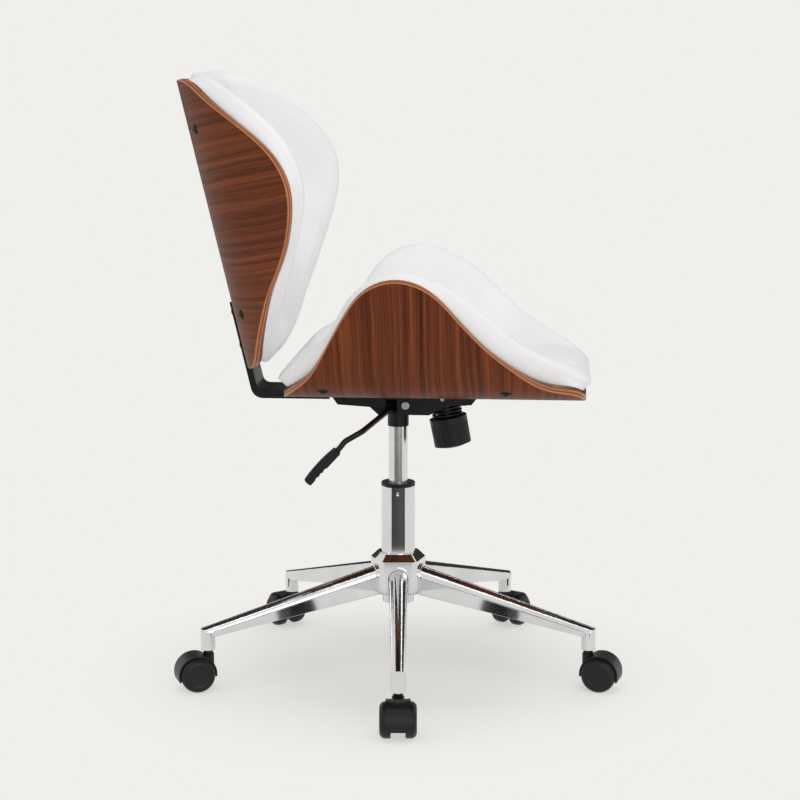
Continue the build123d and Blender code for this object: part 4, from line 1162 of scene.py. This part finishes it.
def makeFloor():
    material, tree, shader = newMaterial("paleFloor")
    tree.nodes.remove(shader)
    coords = objectCoords(tree)
    distance = addNode(tree, "ShaderNodeVectorMath", {0: coords}, operation="LENGTH").outputs["Value"]
    fade = {"Value": distance, "From Min": floor["shadowFrom"], "From Max": floor["shadowTo"]}
    fade.update({"To Min": floor["shadow"], "To Max": 0.0})
    near = addNode(tree, "ShaderNodeMapRange", fade).outputs["Result"]
    speckle = addNoise(tree, coords, floor["speckleScale"], 2.0)
    paint = addRamp(tree, speckle, ((0.3, floor["dark"]), (0.7, floor["pale"])))
    glow = addNode(tree, "ShaderNodeEmission", {"Color": paint, "Strength": 1.0}).outputs[0]
    matte = addNode(tree, "ShaderNodeBsdfDiffuse", {"Color": paint}).outputs[0]
    lit = addNode(tree, "ShaderNodeMixShader", {0: near, 1: glow, 2: matte}).outputs[0]
    final = addNode(tree, "ShaderNodeMixShader", {0: seenDirectly(tree), 1: matte, 2: lit}).outputs[0]
    tree.links.new(final, tree.nodes["Material Output"].inputs["Surface"])
    turns = [math.tau * k / floor["corners"] for k in range(floor["corners"])]
    ring = [(floor["radius"] * math.cos(turn), floor["radius"] * math.sin(turn), 0) for turn in turns]
    newPiece("studio_floor", ring, [list(range(len(ring)))], [material])


darkCards = {  # opposite corners of the cards behind and overhead
    "rearCard": ((-1.9, 2.4, 0.42), (2.3, 2.4, 1.8)),
    "topCard": ((-1.3, -0.9, 2.05), (1.7, 2.2, 2.05)),
}
floorCard = {  # a sector round the column
    "near": 0.7,
    "far": 2.7,
    "middle": -85.4,
    "spread": 46,
    "height": 0.004,
}


def cardOutlines():
    outlines = {}
    for name, (low, high) in darkCards.items():
        outlines[name] = [low, (high[0], low[1], low[2]), high, (low[0], high[1], high[2])]
    turns = [math.radians(floorCard["middle"] + floorCard["spread"] * (step / 12 - 1)) for step in range(25)]
    arc = [(floorCard["near"], turn) for turn in turns]
    arc += [(floorCard["far"], turn) for turn in reversed(turns)]
    height = floorCard["height"]
    outlines["floorCard"] = [(reach * math.cos(turn), reach * math.sin(turn), height) for reach, turn in arc]
    return outlines


def makeCards():  # dark cards that only gloss sees, for the dark bands in the chrome
    material, tree, shader = newMaterial("darkCard")
    cloud = addNoise(tree, objectCoords(tree), 3.0)
    wire(tree, shader, colour=addRamp(tree, cloud, ((0.3, grey(0.015)), (0.7, grey(0.03)))))
    shader.inputs["Roughness"].default_value = 0.9
    for name, corners in cardOutlines().items():
        sheet = newPiece(name, corners, [tuple(range(len(corners)))], [material])
        sheet.visible_camera = sheet.visible_diffuse = False
        sheet.visible_shadow = sheet.visible_transmission = False


lamps = (
    {"name": "topSoftbox", "place": (0.2, -0.4, 3.0), "size": (2.8, 2.8), "watts": 20},
    {"name": "frontFill", "place": (1.2, -3.2, 0.95), "size": (2.0, 1.7), "watts": 20},
    {"name": "leftStrip", "place": (-2.6, -1.2, 1.6), "size": (0.7, 2.2), "watts": 3},
    {"name": "rearSoftbox", "place": (0.6, 2.8, 2.2), "size": (2.2, 1.6), "watts": 9},
)
lampAim = Vector((0, 0, 0.5))


def makeLamps():
    for lamp in lamps:
        light = bpy.data.lights.new(lamp["name"], "AREA")
        light.shape = "RECTANGLE"
        light.size, light.size_y = lamp["size"]
        light.energy = lamp["watts"]
        holder = bpy.data.objects.new(lamp["name"], light)
        holder.location = lamp["place"]
        look = lampAim - Vector(lamp["place"])
        holder.rotation_euler = look.to_track_quat("-Z", "Y").to_euler()
        scene.collection.objects.link(holder)


makeCamera()
makeWorld()
makeFloor()
makeCards()
makeLamps()
scene.view_settings.view_transform = "Standard"
print("studio set")
